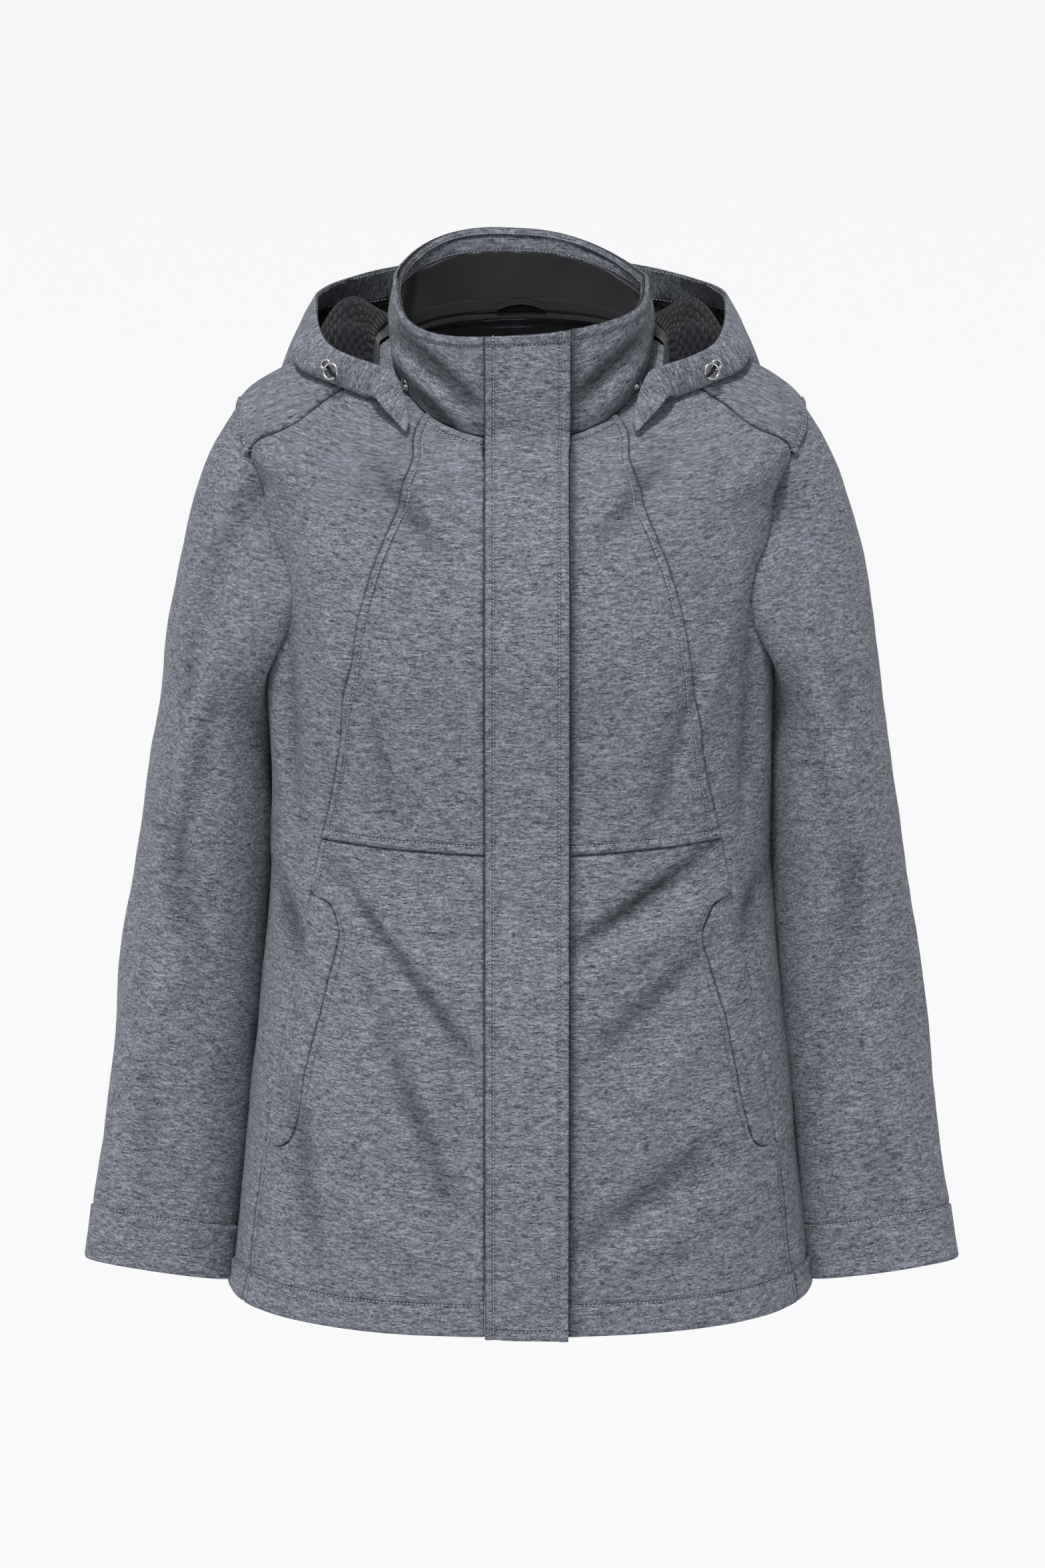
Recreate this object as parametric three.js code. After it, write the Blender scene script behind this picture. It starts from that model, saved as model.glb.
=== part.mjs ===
// A women's hooded softshell jacket, zipped up and filled out as if an unseen wearer had it on.
// Millimetres. +Z is up, the front faces -Y, and +X is the wearer's left. The origin lies inside the
// neck, level with the tops of the shoulders, which is where the wearer carries the jacket.

import * as THREE from "three";

// Driving sizes.
const BODY_TALL = 650; // millimetres from the hem to the neck seam, up the cloth
const COLLAR_TALL = 75; // and from the neck seam to the collar's edge
const CLOTH = 2.0; // bonded softshell: knitted face, membrane and fleece back
const THIN_CLOTH = 1.0; // facings and the collar lining
const SEAM_GAP = 0.3; // between the edges of two sewn pieces
const LAYER_GAP = 0.5; // between layers that lie on each other
const FLAP = { seamX: -27, freeX: 34.5, thick: 2.8, drop: 2, rise: 0.42 }; // storm flap over the zip
const FRONT_EDGE_X = 1; // where the wearer's left front ends, under the flap
const ZIP = { fromX: -21, toX: 13, thick: 1.2, chain: 3, chainRise: 1.3, top: 1.96 };
const COLLAR_BAND = 0.3; // share of the collar's height that the inner band takes
const LINING_FROM = 1.03; // where the collar lining starts, above the neck seam
const NECK_TAPE = { from: 1.05, wide: 9, thick: 0.8 };
const HANGER = { from: 1.06, span: 38, rise: 7, bow: 2, wide: 5, thick: 1.2, cells: 8 };
const COLLAR_FROM = 1.012; // just clear of the neck seam
const NECK_SOFTEN = 0.06; // how far from the neck seam the flap rounds the corner
const HOOD_FROM = 0.99; // the ring of the body where the hood starts, by the neck seam
const HOOD_CLEAR = 2; // between the hood and the shoulders under it
const HALF_HOOD_GAP = 0.15; // degrees between each half of the hood and the centre back
const SNAP = { radius: 5, thick: 2.2, turn: 60, at: 1.13 };
const EYELET = { radius: 3.6, wire: 0.8, column: 2, row: 4 };
const CORD_RING = { radius: 5.8, wire: 1, away: 10, rise: 7.5 };
const CORD_PATH = [
  { along: 0, up: 1.8 },
  { along: 2, up: 3.6 },
  { along: 5, up: 4.2 },
  { along: 8.5, up: 6 },
  { along: 11, up: 9 },
  { along: 14, up: 10.7 },
  { along: 18, up: 10.7 },
];
const CORD = { diameter: 2.6 };

const SHELL_GREY = 0x767a84;
const LINING_GREY = 0x2c2d32;
const METAL_GREY = 0xb4b4b2;
const CORD_BLACK = 0x17171a;

const rad = THREE.MathUtils.degToRad;

// Rings of the body from the hem (at 0) to the neck seam (at 1). "half" is half the width, "front" and
// "back" the depths ahead of and behind the side, which lies at "mid". The three heights are those at
// the side, the centre front and the centre back; the dips say how fast the height changes between
// them. "square" is the ring's squareness, 2 for an ellipse.
const BODY_RINGS = [
  { at: 0.0, half: 219, front: 138, back: 124, mid: 0, sideZ: -694, frontZ: -708, backZ: -707, square: 2.5 },
  { at: 0.2, half: 206, front: 147, back: 130, mid: 0, sideZ: -562, frontZ: -567, backZ: -565, square: 2.45 },
  { at: 0.36, half: 194, front: 141, back: 114, mid: 0, sideZ: -452, frontZ: -455, backZ: -452, square: 2.4 },
  { at: 0.51, half: 186, front: 131, back: 101, mid: 1, sideZ: -352, frontZ: -350, backZ: -347, square: 2.35 },
  { at: 0.62, half: 186, front: 141, back: 106, mid: 2, sideZ: -279, frontZ: -270, backZ: -265, square: 2.3 },
  { at: 0.7, half: 188, front: 149, back: 113, mid: 2, sideZ: -220, frontZ: -207, backZ: -190, square: 2.3 },
  { at: 0.78, half: 188, front: 139, back: 118, mid: 2, sideZ: -150, frontZ: -152, backZ: -122, square: 2.4 },
  { at: 0.84, half: 194, front: 122, back: 118, mid: 3, sideZ: -90, frontZ: -117, backZ: -75, square: 2.5 },
  { at: 0.9, half: 211, front: 105, back: 111, mid: 4, sideZ: -28, frontZ: -90, backZ: -32, square: 2.45 },
  { at: 0.95, half: 157, front: 92, back: 98, mid: 4, sideZ: 6, frontZ: -68, backZ: 0, square: 2.25 },
  { at: 1.0, half: 94, front: 80, back: 80, mid: 4, sideZ: 13, frontZ: -49, backZ: 29, square: 2.3 },
];
const BODY_DIPS = [
  { at: 0.0, front: 1.3, back: 1.3, twist: 0 },
  { at: 0.8, front: 1.3, back: 1.3, twist: 0 },
  { at: 0.9, front: 1.15, back: 1.3, twist: 0 },
  { at: 1.0, front: 0.93, back: 1.2, twist: 0 },
];

// Rings of the stand collar, from the neck seam (at 1) to the top edge (at 2). "twist" lifts the front
// of the wearer's left side and the back of the right side, as the collar leans a little.
const COLLAR_RINGS = [
  { at: 1.0, half: 94, front: 80, back: 80, mid: 4, sideZ: 13, frontZ: -49, backZ: 29, square: 2.3 },
  { at: 1.25, half: 98, front: 83, back: 84, mid: 4, sideZ: 26, frontZ: -29, backZ: 47, square: 2.35 },
  { at: 1.5, half: 99, front: 85, back: 88, mid: 4, sideZ: 40, frontZ: -10, backZ: 64, square: 2.4 },
  { at: 2.0, half: 93, front: 86, back: 93, mid: 3, sideZ: 66, frontZ: 28, backZ: 95, square: 2.5 },
];
const COLLAR_DIPS = [
  { at: 1.0, front: 0.93, back: 1.2, twist: 0 },
  { at: 1.5, front: 0.7, back: 1.5, twist: 2 },
  { at: 2.0, front: 0.5, back: 1.8, twist: 4.5 },
];

// The largest soft folds, each along a line in the front view: positive ones stand out.
const BODY_FOLDS = [
  { face: "front", from: [-128, -372], to: [-45, -470], wide: 11, deep: -3.2 },
  { face: "front", from: [-112, -395], to: [-40, -560], wide: 16, deep: 2.2 },
  { face: "front", from: [-140, -600], to: [-30, -655], wide: 18, deep: -2.0 },
  { face: "front", from: [48, -430], to: [128, -362], wide: 12, deep: -2.8 },
  { face: "front", from: [50, -470], to: [140, -385], wide: 14, deep: 2.0 },
  { face: "front", from: [48, -640], to: [150, -560], wide: 18, deep: -2.2 },
  { face: "front", from: [-150, -150], to: [-118, -290], wide: 16, deep: 2.4 },
  { face: "front", from: [165, -150], to: [120, -300], wide: 16, deep: 2.0 },
  { face: "back", from: [-150, -240], to: [-70, -345], wide: 15, deep: -2.6 },
  { face: "back", from: [150, -240], to: [75, -340], wide: 15, deep: -2.6 },
  { face: "back", from: [-120, -390], to: [110, -372], wide: 16, deep: -2.4 },
  { face: "back", from: [-60, -430], to: [-85, -640], wide: 20, deep: 2.6 },
  { face: "back", from: [70, -440], to: [88, -630], wide: 20, deep: 2.2 },
];

// The princess seam of each front, from the hem to the neck: distance from the centre line by height.
const PRINCESS = [
  { at: -700, x: 207 },
  { at: -645, x: 200 },
  { at: -573, x: 191 },
  { at: -470, x: 174 },
  { at: -384, x: 156 },
  { at: -343, x: 148 },
  { at: -276, x: 133 },
  { at: -218, x: 125 },
  { at: -160, x: 115 },
  { at: -104, x: 94 },
  { at: -34, x: 69.5 },
];

// The curved inner edge of the hand pocket, from its foot on the princess seam to its head.
const POCKET_FOOT_Z = -573;
const POCKET_HEAD_Z = -384;
const POCKET_FOOT_CURVE = [
  { x: 191, z: -573 },
  { x: 182, z: -575.5 },
  { x: 173, z: -569 },
];
const POCKET_EDGE = [
  { x: 173, z: -569 },
  { x: 168, z: -553 },
  { x: 156, z: -493 },
  { x: 143, z: -445 },
  { x: 134.5, z: -413 },
  { x: 134.5, z: -401 },
  { x: 140, z: -392 },
];
const POCKET_HEAD_CURVE = [
  { x: 140, z: -392 },
  { x: 147.5, z: -387.5 },
  { x: 156, z: -384 },
];

// The waist seam of each front, from under the flap to the princess seam.
const WAIST = [
  { x: -30, z: -350 },
  { x: 34, z: -350 },
  { x: 108, z: -346 },
  { x: 148, z: -343 },
];

// The yoke's front seam, from the armhole to the neck, and its back seam, to the centre back.
const YOKE_FRONT = [
  { x: 199, z: -66 },
  { x: 187, z: -55 },
  { x: 165, z: -36 },
  { x: 135, z: -19 },
  { x: 112, z: -10 },
  { x: 86, z: -3 },
];
const YOKE_BACK = [
  { x: 196, z: -82 },
  { x: 140, z: -90 },
  { x: 70, z: -94 },
  { x: 0, z: -95 },
];

// The armhole in the front view below the yoke, and the same at the back.
const ARMHOLE_FRONT = [
  { x: 199, z: -66 },
  { x: 188, z: -99 },
  { x: 176, z: -138 },
  { x: 171, z: -165 },
  { x: 176, z: -195 },
];
const ARMHOLE_BACK = [
  { x: 196, z: -82 },
  { x: 186, z: -118 },
  { x: 177, z: -152 },
  { x: 174, z: -178 },
  { x: 178, z: -203 },
];
const ARMPIT_AT = 0.697;
const SHOULDER_TIP_AT = 0.9;

// Sections of the sleeve from the upper arm (at 0) to the cuff (at 1): the centre line, the half widths
// across and front to back, and the tilt of the section, whose outer side is the higher one.
const SLEEVE_SECTIONS = [
  { at: 0.0, x: 231.5, y: 12, z: -268, halfX: 42, halfY: 74, tilt: 3 },
  { at: 0.25, x: 241, y: 10, z: -372, halfX: 47.5, halfY: 67, tilt: 4 },
  { at: 0.5, x: 251, y: 5, z: -477, halfX: 50, halfY: 58, tilt: 5.5 },
  { at: 0.75, x: 263, y: -3, z: -580, halfX: 51.5, halfY: 48, tilt: 7 },
  { at: 1.0, x: 275, y: -13, z: -682, halfX: 54, halfY: 38, tilt: 8.4 },
];
const SLEEVE_PITCH = 6; // degrees by which the arm hangs forward
const SLEEVE_SQUARE = 2.15;
const SLEEVE_ROWS = { cap: 8, tube: 13 };

// Folds of the sleeve: "along" is the share of the arm below the cap, negative on the cap, "round" is
// the angle from the outer side towards the front in degrees, and "slant" how far it turns on the way.
const SLEEVE_FOLDS = [
  { along: -0.28, round: 62, length: 0.3, slant: 26, wide: 15, deep: -3.0 },
  { along: -0.1, round: 98, length: 0.34, slant: -14, wide: 13, deep: 2.6 },
  { along: 0.2, round: 75, length: 0.35, slant: 40, wide: 17, deep: -2.8 },
  { along: 0.34, round: 20, length: 0.3, slant: -30, wide: 20, deep: 2.2 },
  { along: 0.62, round: 70, length: 0.36, slant: 25, wide: 20, deep: -2.2 },
  { along: 0.1, round: -80, length: 0.4, slant: -25, wide: 18, deep: -3.2 },
  { along: 0.42, round: -60, length: 0.35, slant: 35, wide: 18, deep: 2.6 },
  { along: 0.7, round: -85, length: 0.3, slant: -20, wide: 20, deep: -2.4 },
];

// The hood, lying open round the collar, by its heading from the centre front. "foot" is where it
// leaves the shoulders or the back, on the body's rings, "roll" the radius it turns up with, "puff" how
// high its inner side stands off the shoulders, and "bulge" how far its outer side bows out.
const HOOD_SECTIONS = [
  { heading: 60, foot: 0.978, roll: 4, puff: 0, rimX: 104, rimY: -55, rimZ: 3, bulge: 1 },
  { heading: 70, foot: 0.964, roll: 4.5, puff: 0, rimX: 124, rimY: -45, rimZ: 9, bulge: 2 },
  { heading: 80, foot: 0.95, roll: 5, puff: 4, rimX: 142, rimY: -28, rimZ: 17, bulge: 3 },
  { heading: 90, foot: 0.947, roll: 5.5, puff: 15, rimX: 151, rimY: -2, rimZ: 29, bulge: 5 },
  { heading: 101, foot: 0.947, roll: 6, puff: 28, rimX: 154, rimY: 28, rimZ: 41, bulge: 5 },
  { heading: 115, foot: 0.938, roll: 7, puff: 30, rimX: 152, rimY: 70, rimZ: 51, bulge: 5 },
  { heading: 134, foot: 0.89, roll: 9, puff: 22, rimX: 122, rimY: 108, rimZ: 60, bulge: 11 },
  { heading: 156, foot: 0.805, roll: 11, puff: 14, rimX: 63, rimY: 135, rimZ: 69, bulge: 20 },
  { heading: 180, foot: 0.755, roll: 11, puff: 12, rimX: 0, rimY: 144, rimZ: 72, bulge: 25 },
];
const HOOD_CELLS = { half: 17, inner: 4, outer: 7, band: 2 };
const HOOD_LINING_FROM = 3; // the column where the lining starts, behind the narrow front end

// The strap end of the hood on each side, from its root to its tip by the collar: its lower edge, and
// its upper edge beside the collar.
const TAB_ROWS = [
  { at: 0.35, lowX: 107, lowY: -64, lowZ: -20, upX: 94, upY: -58, upZ: -1 },
  { at: 0.6, lowX: 100, lowY: -68, lowZ: -28, upX: 88.5, upY: -61, upZ: -11 },
  { at: 0.8, lowX: 92, lowY: -72, lowZ: -36, upX: 85, upY: -66, upZ: -22 },
  { at: 0.93, lowX: 87, lowY: -76, lowZ: -41, upX: 82.5, upY: -70, upZ: -33 },
  { at: 1.0, lowX: 84.5, lowY: -77, lowZ: -42, upX: 82.5, upY: -74, upZ: -38 },
];
const TAB_THICK = 3;

// Cells along each stretch of a seam. Pieces on both sides of a seam share its points.
const CELLS = {
  hemToPocket: 4,
  pocket: 9,
  pocketEnd: 2,
  pocketToWaist: 2,
  waistToNeck: 11,
  sideSeam: 18,
  armhole: 8,
  centre: 6,
  side: 5,
  yokeFront: 4,
  overShoulder: 6,
  backHalf: 8,
  flapAcross: 5,
  collarRound: 36,
  collarUp: 4,
};

// Smooth value of one column of a table, through its rows, with straight ends.
function valueAt(rows, column, place, key = "at") {
  const last = rows.length - 1;
  const slope = (i) => {
    const a = Math.max(i - 1, 0);
    const b = Math.min(i + 1, last);
    return (rows[b][column] - rows[a][column]) / (rows[b][key] - rows[a][key]);
  };
  if (place <= rows[0][key]) return rows[0][column] + slope(0) * (place - rows[0][key]);
  if (place >= rows[last][key]) return rows[last][column] + slope(last) * (place - rows[last][key]);
  let i = 0;
  while (place > rows[i + 1][key]) i++;
  const span = rows[i + 1][key] - rows[i][key];
  const t = (place - rows[i][key]) / span;
  const t2 = t * t;
  const t3 = t2 * t;
  return (
    (2 * t3 - 3 * t2 + 1) * rows[i][column] +
    (t3 - 2 * t2 + t) * span * slope(i) +
    (3 * t2 - 2 * t3) * rows[i + 1][column] +
    (t3 - t2) * span * slope(i + 1)
  );
}

const signedPower = (base, power) => Math.sign(base) * Math.abs(base) ** power;

// A point of a ring: "turn" runs from the centre front, 0, to the wearer's left side, 90 degrees.
function ringPoint(rings, turn, at) {
  const size = (column) => valueAt(rings, column, at);
  const power = 2 / size("square");
  const ahead = Math.cos(turn);
  const depth = signedPower(ahead, power);
  const reach = depth > 0 ? size("front") : size("back");
  const endZ = ahead > 0 ? size("frontZ") : size("backZ");
  const dips = rings === BODY_RINGS ? BODY_DIPS : COLLAR_DIPS;
  const share = Math.abs(ahead) ** valueAt(dips, ahead > 0 ? "front" : "back", at);
  const twist = valueAt(dips, "twist", at) * Math.sin(2 * turn);
  return new THREE.Vector3(
    size("half") * signedPower(Math.sin(turn), power),
    size("mid") * (1 - Math.abs(depth)) - reach * depth,
    size("sideZ") + (endZ - size("sideZ")) * share + twist,
  );
}

// How far the folds move a point of the body out.
function foldHeight(point, turn) {
  const face = Math.cos(turn) > 0 ? "front" : "back";
  let height = 0;
  for (const fold of BODY_FOLDS) {
    if (fold.face !== face) continue;
    const alongX = fold.to[0] - fold.from[0];
    const alongZ = fold.to[1] - fold.from[1];
    const length2 = alongX ** 2 + alongZ ** 2;
    const t = ((point.x - fold.from[0]) * alongX + (point.z - fold.from[1]) * alongZ) / length2;
    const near = THREE.MathUtils.clamp(t, 0, 1);
    const dx = point.x - fold.from[0] - near * alongX;
    const dz = point.z - fold.from[1] - near * alongZ;
    const fade = 0.35 + 0.65 * Math.sin(Math.PI * near);
    height += fold.deep * fade * Math.exp(-(dx ** 2 + dz ** 2) / fold.wide ** 2);
  }
  return height;
}

const SMALL_STEP = 1e-3;
const EVEN_ROUNDS = 40; // of the evening out of a panel's cells
const MOST_MOVE = 12; // of a cell's corner in one round
const CLOSE_ENOUGH = 1e-4;
const NECK_Z = -40; // rough height of the neck seam at the front, to start a search from

function ringNormal(rings, turn, at) {
  const across = ringPoint(rings, turn + SMALL_STEP, at).sub(ringPoint(rings, turn - SMALL_STEP, at));
  const up = ringPoint(rings, turn, at + SMALL_STEP).sub(ringPoint(rings, turn, at - SMALL_STEP));
  return across.cross(up).normalize();
}

// The outer face of the cloth, moved out by "out" from the folded surface.
function skin(place, out = 0, rings = BODY_RINGS) {
  const base = ringPoint(rings, place.turn, place.at);
  const normal = place.normal ?? ringNormal(rings, place.turn, place.at);
  const fold = rings === BODY_RINGS ? foldHeight(base, place.turn) : 0;
  return base.addScaledVector(normal, out + fold);
}

// The place on the body that shows at (x, z) in the front view, or in the back view.
function placeAt(x, z, face = "front") {
  const side = Math.sign(x) || 1;
  const first = Math.asin(Math.min(0.97, Math.abs(x) / 200));
  let turn = side * (face === "front" ? first : Math.PI - first);
  let at = THREE.MathUtils.clamp(1 + (z - NECK_Z) / BODY_TALL, 0.02, 0.98);
  for (let tries = 0; tries < 60; tries++) {
    const p = ringPoint(BODY_RINGS, turn, at);
    const dTurn = ringPoint(BODY_RINGS, turn + SMALL_STEP, at).sub(p).divideScalar(SMALL_STEP);
    const dAt = ringPoint(BODY_RINGS, turn, at + SMALL_STEP).sub(p).divideScalar(SMALL_STEP);
    const errorX = x - p.x;
    const errorZ = z - p.z;
    const determinant = dTurn.x * dAt.z - dAt.x * dTurn.z;
    const limit = (step, most) => THREE.MathUtils.clamp(step, -most, most);
    turn += limit((errorX * dAt.z - errorZ * dAt.x) / determinant, 0.15);
    at += limit((errorZ * dTurn.x - errorX * dTurn.z) / determinant, 0.05);
    if (Math.hypot(errorX, errorZ) < CLOSE_ENOUGH) break;
  }
  return { turn, at };
}

// The turn at which a ring crosses a distance x from the centre line.
function turnAtX(rings, x, at, face = "front") {
  const half = valueAt(rings, "half", at);
  const turn = Math.asin(signedPower(x / half, valueAt(rings, "square", at) / 2));
  return face === "front" ? turn : Math.PI - turn;
}

const atX = (x, at, rings = BODY_RINGS) => ({ turn: turnAtX(rings, x, at), at });
const mirrored = ({ turn, at, normal }) => ({
  turn: -turn,
  at,
  normal: normal && new THREE.Vector3(-normal.x, normal.y, normal.z),
});
const steps = (count, make) => Array.from({ length: count + 1 }, (_, i) => make(i / count));
const joined = (...runs) => runs.flatMap((run, i) => (i ? run.slice(1) : run));
const reversed = (run) => [...run].reverse();

// Places along an outline drawn in the front or back view.
function seamAlong(outline, count, face = "front") {
  const points = outline.map(({ x, z }) => new THREE.Vector3(x, 0, z));
  const curve = new THREE.CatmullRomCurve3(points, false, "centripetal");
  return steps(count, (t) => {
    const { x, z } = curve.getPointAt(t);
    return placeAt(x, z, face);
  });
}

// A grid of places filled in between four runs: left and right go up, bottom and top go across.
// The inner places are then evened out.
function fillBetween(left, right, bottom, top) {
  const rows = left.length - 1;
  const columns = bottom.length - 1;
  const blend = (key, i, j) => {
    const u = i / columns;
    const v = j / rows;
    const corners =
      (1 - u) * ((1 - v) * bottom[0][key] + v * top[0][key]) +
      u * ((1 - v) * bottom[columns][key] + v * top[columns][key]);
    return (
      (1 - u) * left[j][key] + u * right[j][key] + (1 - v) * bottom[i][key] + v * top[i][key] - corners
    );
  };
  const grid = left.map((_, j) =>
    bottom.map((_, i) => {
      if (i === 0) return left[j];
      if (i === columns) return right[j];
      if (j === 0) return bottom[i];
      if (j === rows) return top[i];
      return { turn: blend("turn", i, j), at: blend("at", i, j) };
    }),
  );
  const points = grid.map((row) => row.map(({ turn, at }) => ringPoint(BODY_RINGS, turn, at)));
  for (let round = 0; round < EVEN_ROUNDS; round++) {
    for (let j = 1; j < rows; j++) {
      for (let i = 1; i < columns; i++) {
        const move = points[j][i - 1].clone().add(points[j][i + 1]).add(points[j - 1][i]);
        move.add(points[j + 1][i]).divideScalar(4).sub(points[j][i]).clampLength(0, MOST_MOVE);
        grid[j][i] = slide(BODY_RINGS, grid[j][i], move);
        points[j][i] = ringPoint(BODY_RINGS, grid[j][i].turn, grid[j][i].at);
      }
    }
  }
  return grid;
}

// The place that a small move along the surface leads to.
function slide(rings, place, move) {
  const { turn, at } = place;
  const p = ringPoint(rings, turn, at);
  const dTurn = ringPoint(rings, turn + SMALL_STEP, at).sub(p).divideScalar(SMALL_STEP);
  const dAt = ringPoint(rings, turn, at + SMALL_STEP).sub(p).divideScalar(SMALL_STEP);
  const [a, b, c] = [dTurn.dot(dTurn), dTurn.dot(dAt), dAt.dot(dAt)];
  const [d, e] = [dTurn.dot(move), dAt.dot(move)];
  const determinant = a * c - b * b;
  return {
    turn: turn + (d * c - e * b) / determinant,
    at: at + (a * e - b * d) / determinant,
    normal: place.normal,
  };
}

// Pulls the edges of a grid in by half the seam gap, square to the seam.
function pulledIn(grid, rings = BODY_RINGS) {
  const rows = grid.length - 1;
  const columns = grid[0].length - 1;
  const points = grid.map((row) => row.map(({ turn, at }) => ringPoint(rings, turn, at)));
  const pick = (j, i) => points[THREE.MathUtils.clamp(j, 0, rows)][THREE.MathUtils.clamp(i, 0, columns)];
  const inward = (j, i, dj, di) => {
    const along = pick(j + di, i + dj).clone().sub(pick(j - di, i - dj)).normalize();
    const away = pick(j + dj, i + di).clone().sub(points[j][i]);
    return away.addScaledVector(along, -away.dot(along)).setLength(SEAM_GAP / 2);
  };
  return grid.map((row, j) =>
    row.map((place, i) => {
      const move = new THREE.Vector3();
      if (j === 0) move.add(inward(j, i, 1, 0));
      if (j === rows) move.add(inward(j, i, -1, 0));
      if (i === 0) move.add(inward(j, i, 0, 1));
      if (i === columns) move.add(inward(j, i, 0, -1));
      return move.length() > 0 ? slide(rings, place, move) : place;
    }),
  );
}

// A closed wall between an outer and an inner grid of points. A wrapped grid closes round on itself.
function wallBetween(outer, inner, wrapped = false) {
  const rows = outer.length;
  const columns = outer[0].length;
  const count = rows * columns;
  const index = [];
  const points = [...outer.flat(), ...inner.flat()];
  const quad = (a, b, c, d) => {
    const straight = points[a].distanceTo(points[c]) <= points[b].distanceTo(points[d]);
    index.push(...(straight ? [a, b, c, a, c, d] : [a, b, d, b, c, d]));
  };
  const id = (j, i) => j * columns + (i % columns);
  const lastColumn = wrapped ? columns : columns - 1;
  for (let j = 0; j < rows - 1; j++) {
    for (let i = 0; i < lastColumn; i++) {
      quad(id(j, i), id(j, i + 1), id(j + 1, i + 1), id(j + 1, i));
      quad(count + id(j, i), count + id(j + 1, i), count + id(j + 1, i + 1), count + id(j, i + 1));
    }
  }
  for (let i = 0; i < lastColumn; i++) {
    const top = rows - 1;
    quad(id(0, i), count + id(0, i), count + id(0, i + 1), id(0, i + 1));
    quad(id(top, i), id(top, i + 1), count + id(top, i + 1), count + id(top, i));
  }
  if (!wrapped) {
    const end = columns - 1;
    for (let j = 0; j < rows - 1; j++) {
      quad(id(j, 0), id(j + 1, 0), count + id(j + 1, 0), count + id(j, 0));
      quad(id(j, end), count + id(j, end), count + id(j + 1, end), id(j + 1, end));
    }
  }
  return closedGeometry(points, index);
}

// A geometry from points and triangles, turned so that its faces point outwards.
function closedGeometry(points, index) {
  const geometry = new THREE.BufferGeometry();
  geometry.setAttribute(
    "position",
    new THREE.Float32BufferAttribute(points.flatMap((p) => p.toArray()), 3),
  );
  if (signedVolume(points, index) < 0) index.reverse();
  geometry.setIndex(index);
  return geometry;
}

function signedVolume(points, index) {
  let volume = 0;
  for (let i = 0; i < index.length; i += 3) {
    const [a, b, c] = [points[index[i]], points[index[i + 1]], points[index[i + 2]]];
    volume += a.dot(b.clone().cross(c)) / 6;
  }
  return volume;
}

// A panel of the body or collar: its cloth lies between two distances out from the surface.
function panel(grid, { rings = BODY_RINGS, top = 0, bottom = -CLOTH, gap = true } = {}) {
  const cut = gap ? pulledIn(grid, rings) : grid;
  const layer = (out) => cut.map((row) => row.map((place) => skin(place, out, rings)));
  return wallBetween(layer(top), layer(bottom));
}

// Normals of a grid of points, from its neighbours.
function gridNormals(points, wrapped = false) {
  const rows = points.length;
  const columns = points[0].length;
  const pick = (j, i) => {
    const row = points[Math.min(Math.max(j, 0), rows - 1)];
    return wrapped ? row[(i + columns) % columns] : row[Math.min(Math.max(i, 0), columns - 1)];
  };
  return points.map((row, j) =>
    row.map((_, i) => {
      const across = pick(j, i + 1).clone().sub(pick(j, i - 1));
      const up = pick(j + 1, i).clone().sub(pick(j - 1, i));
      return across.cross(up).normalize();
    }),
  );
}

const movedOut = (points, normals, out) =>
  points.map((row, j) => row.map((p, i) => p.clone().addScaledVector(normals[j][i], out)));

// The armhole's runs on the wearer's left, with the tip of the shoulder and the armpit on the side line.
function armholeRuns() {
  const armpit = { turn: Math.PI / 2, at: ARMPIT_AT };
  const tip = { turn: Math.PI / 2, at: SHOULDER_TIP_AT };
  const lower = (outline, face) => {
    const run = outline.map(({ x, z }) => placeAt(x, z, face));
    return resampled([...run, armpit], CELLS.armhole);
  };
  const front = lower(ARMHOLE_FRONT, "front");
  const back = lower(ARMHOLE_BACK, "back");
  const half = CELLS.overShoulder / 2;
  return {
    front: reversed(front),
    back: reversed(back),
    over: joined(resampled([front[0], tip], half), resampled([tip, back[0]], half)),
    armpit,
  };
}

// Evenly spaced places along a smooth run through others, by their real distance apart.
function resampled(places, count) {
  const asPoint = ({ turn, at }) => new THREE.Vector3(turn, at, 0);
  const curve = new THREE.CatmullRomCurve3(places.map(asPoint), false, "centripetal");
  const fine = steps(200, (t) => curve.getPoint(t));
  const real = fine.map(({ x, y }) => ringPoint(BODY_RINGS, x, y));
  const reach = [0];
  for (let i = 1; i < real.length; i++) reach.push(reach[i - 1] + real[i].distanceTo(real[i - 1]));
  return steps(count, (t) => {
    if (t === 0) return places[0];
    if (t === 1) return places[places.length - 1];
    const wanted = t * reach[reach.length - 1];
    let i = 1;
    while (reach[i] < wanted) i++;
    const share = (wanted - reach[i - 1]) / (reach[i] - reach[i - 1]);
    const { x, y } = fine[i - 1].clone().lerp(fine[i], share);
    return { turn: x, at: y };
  });
}

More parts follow.
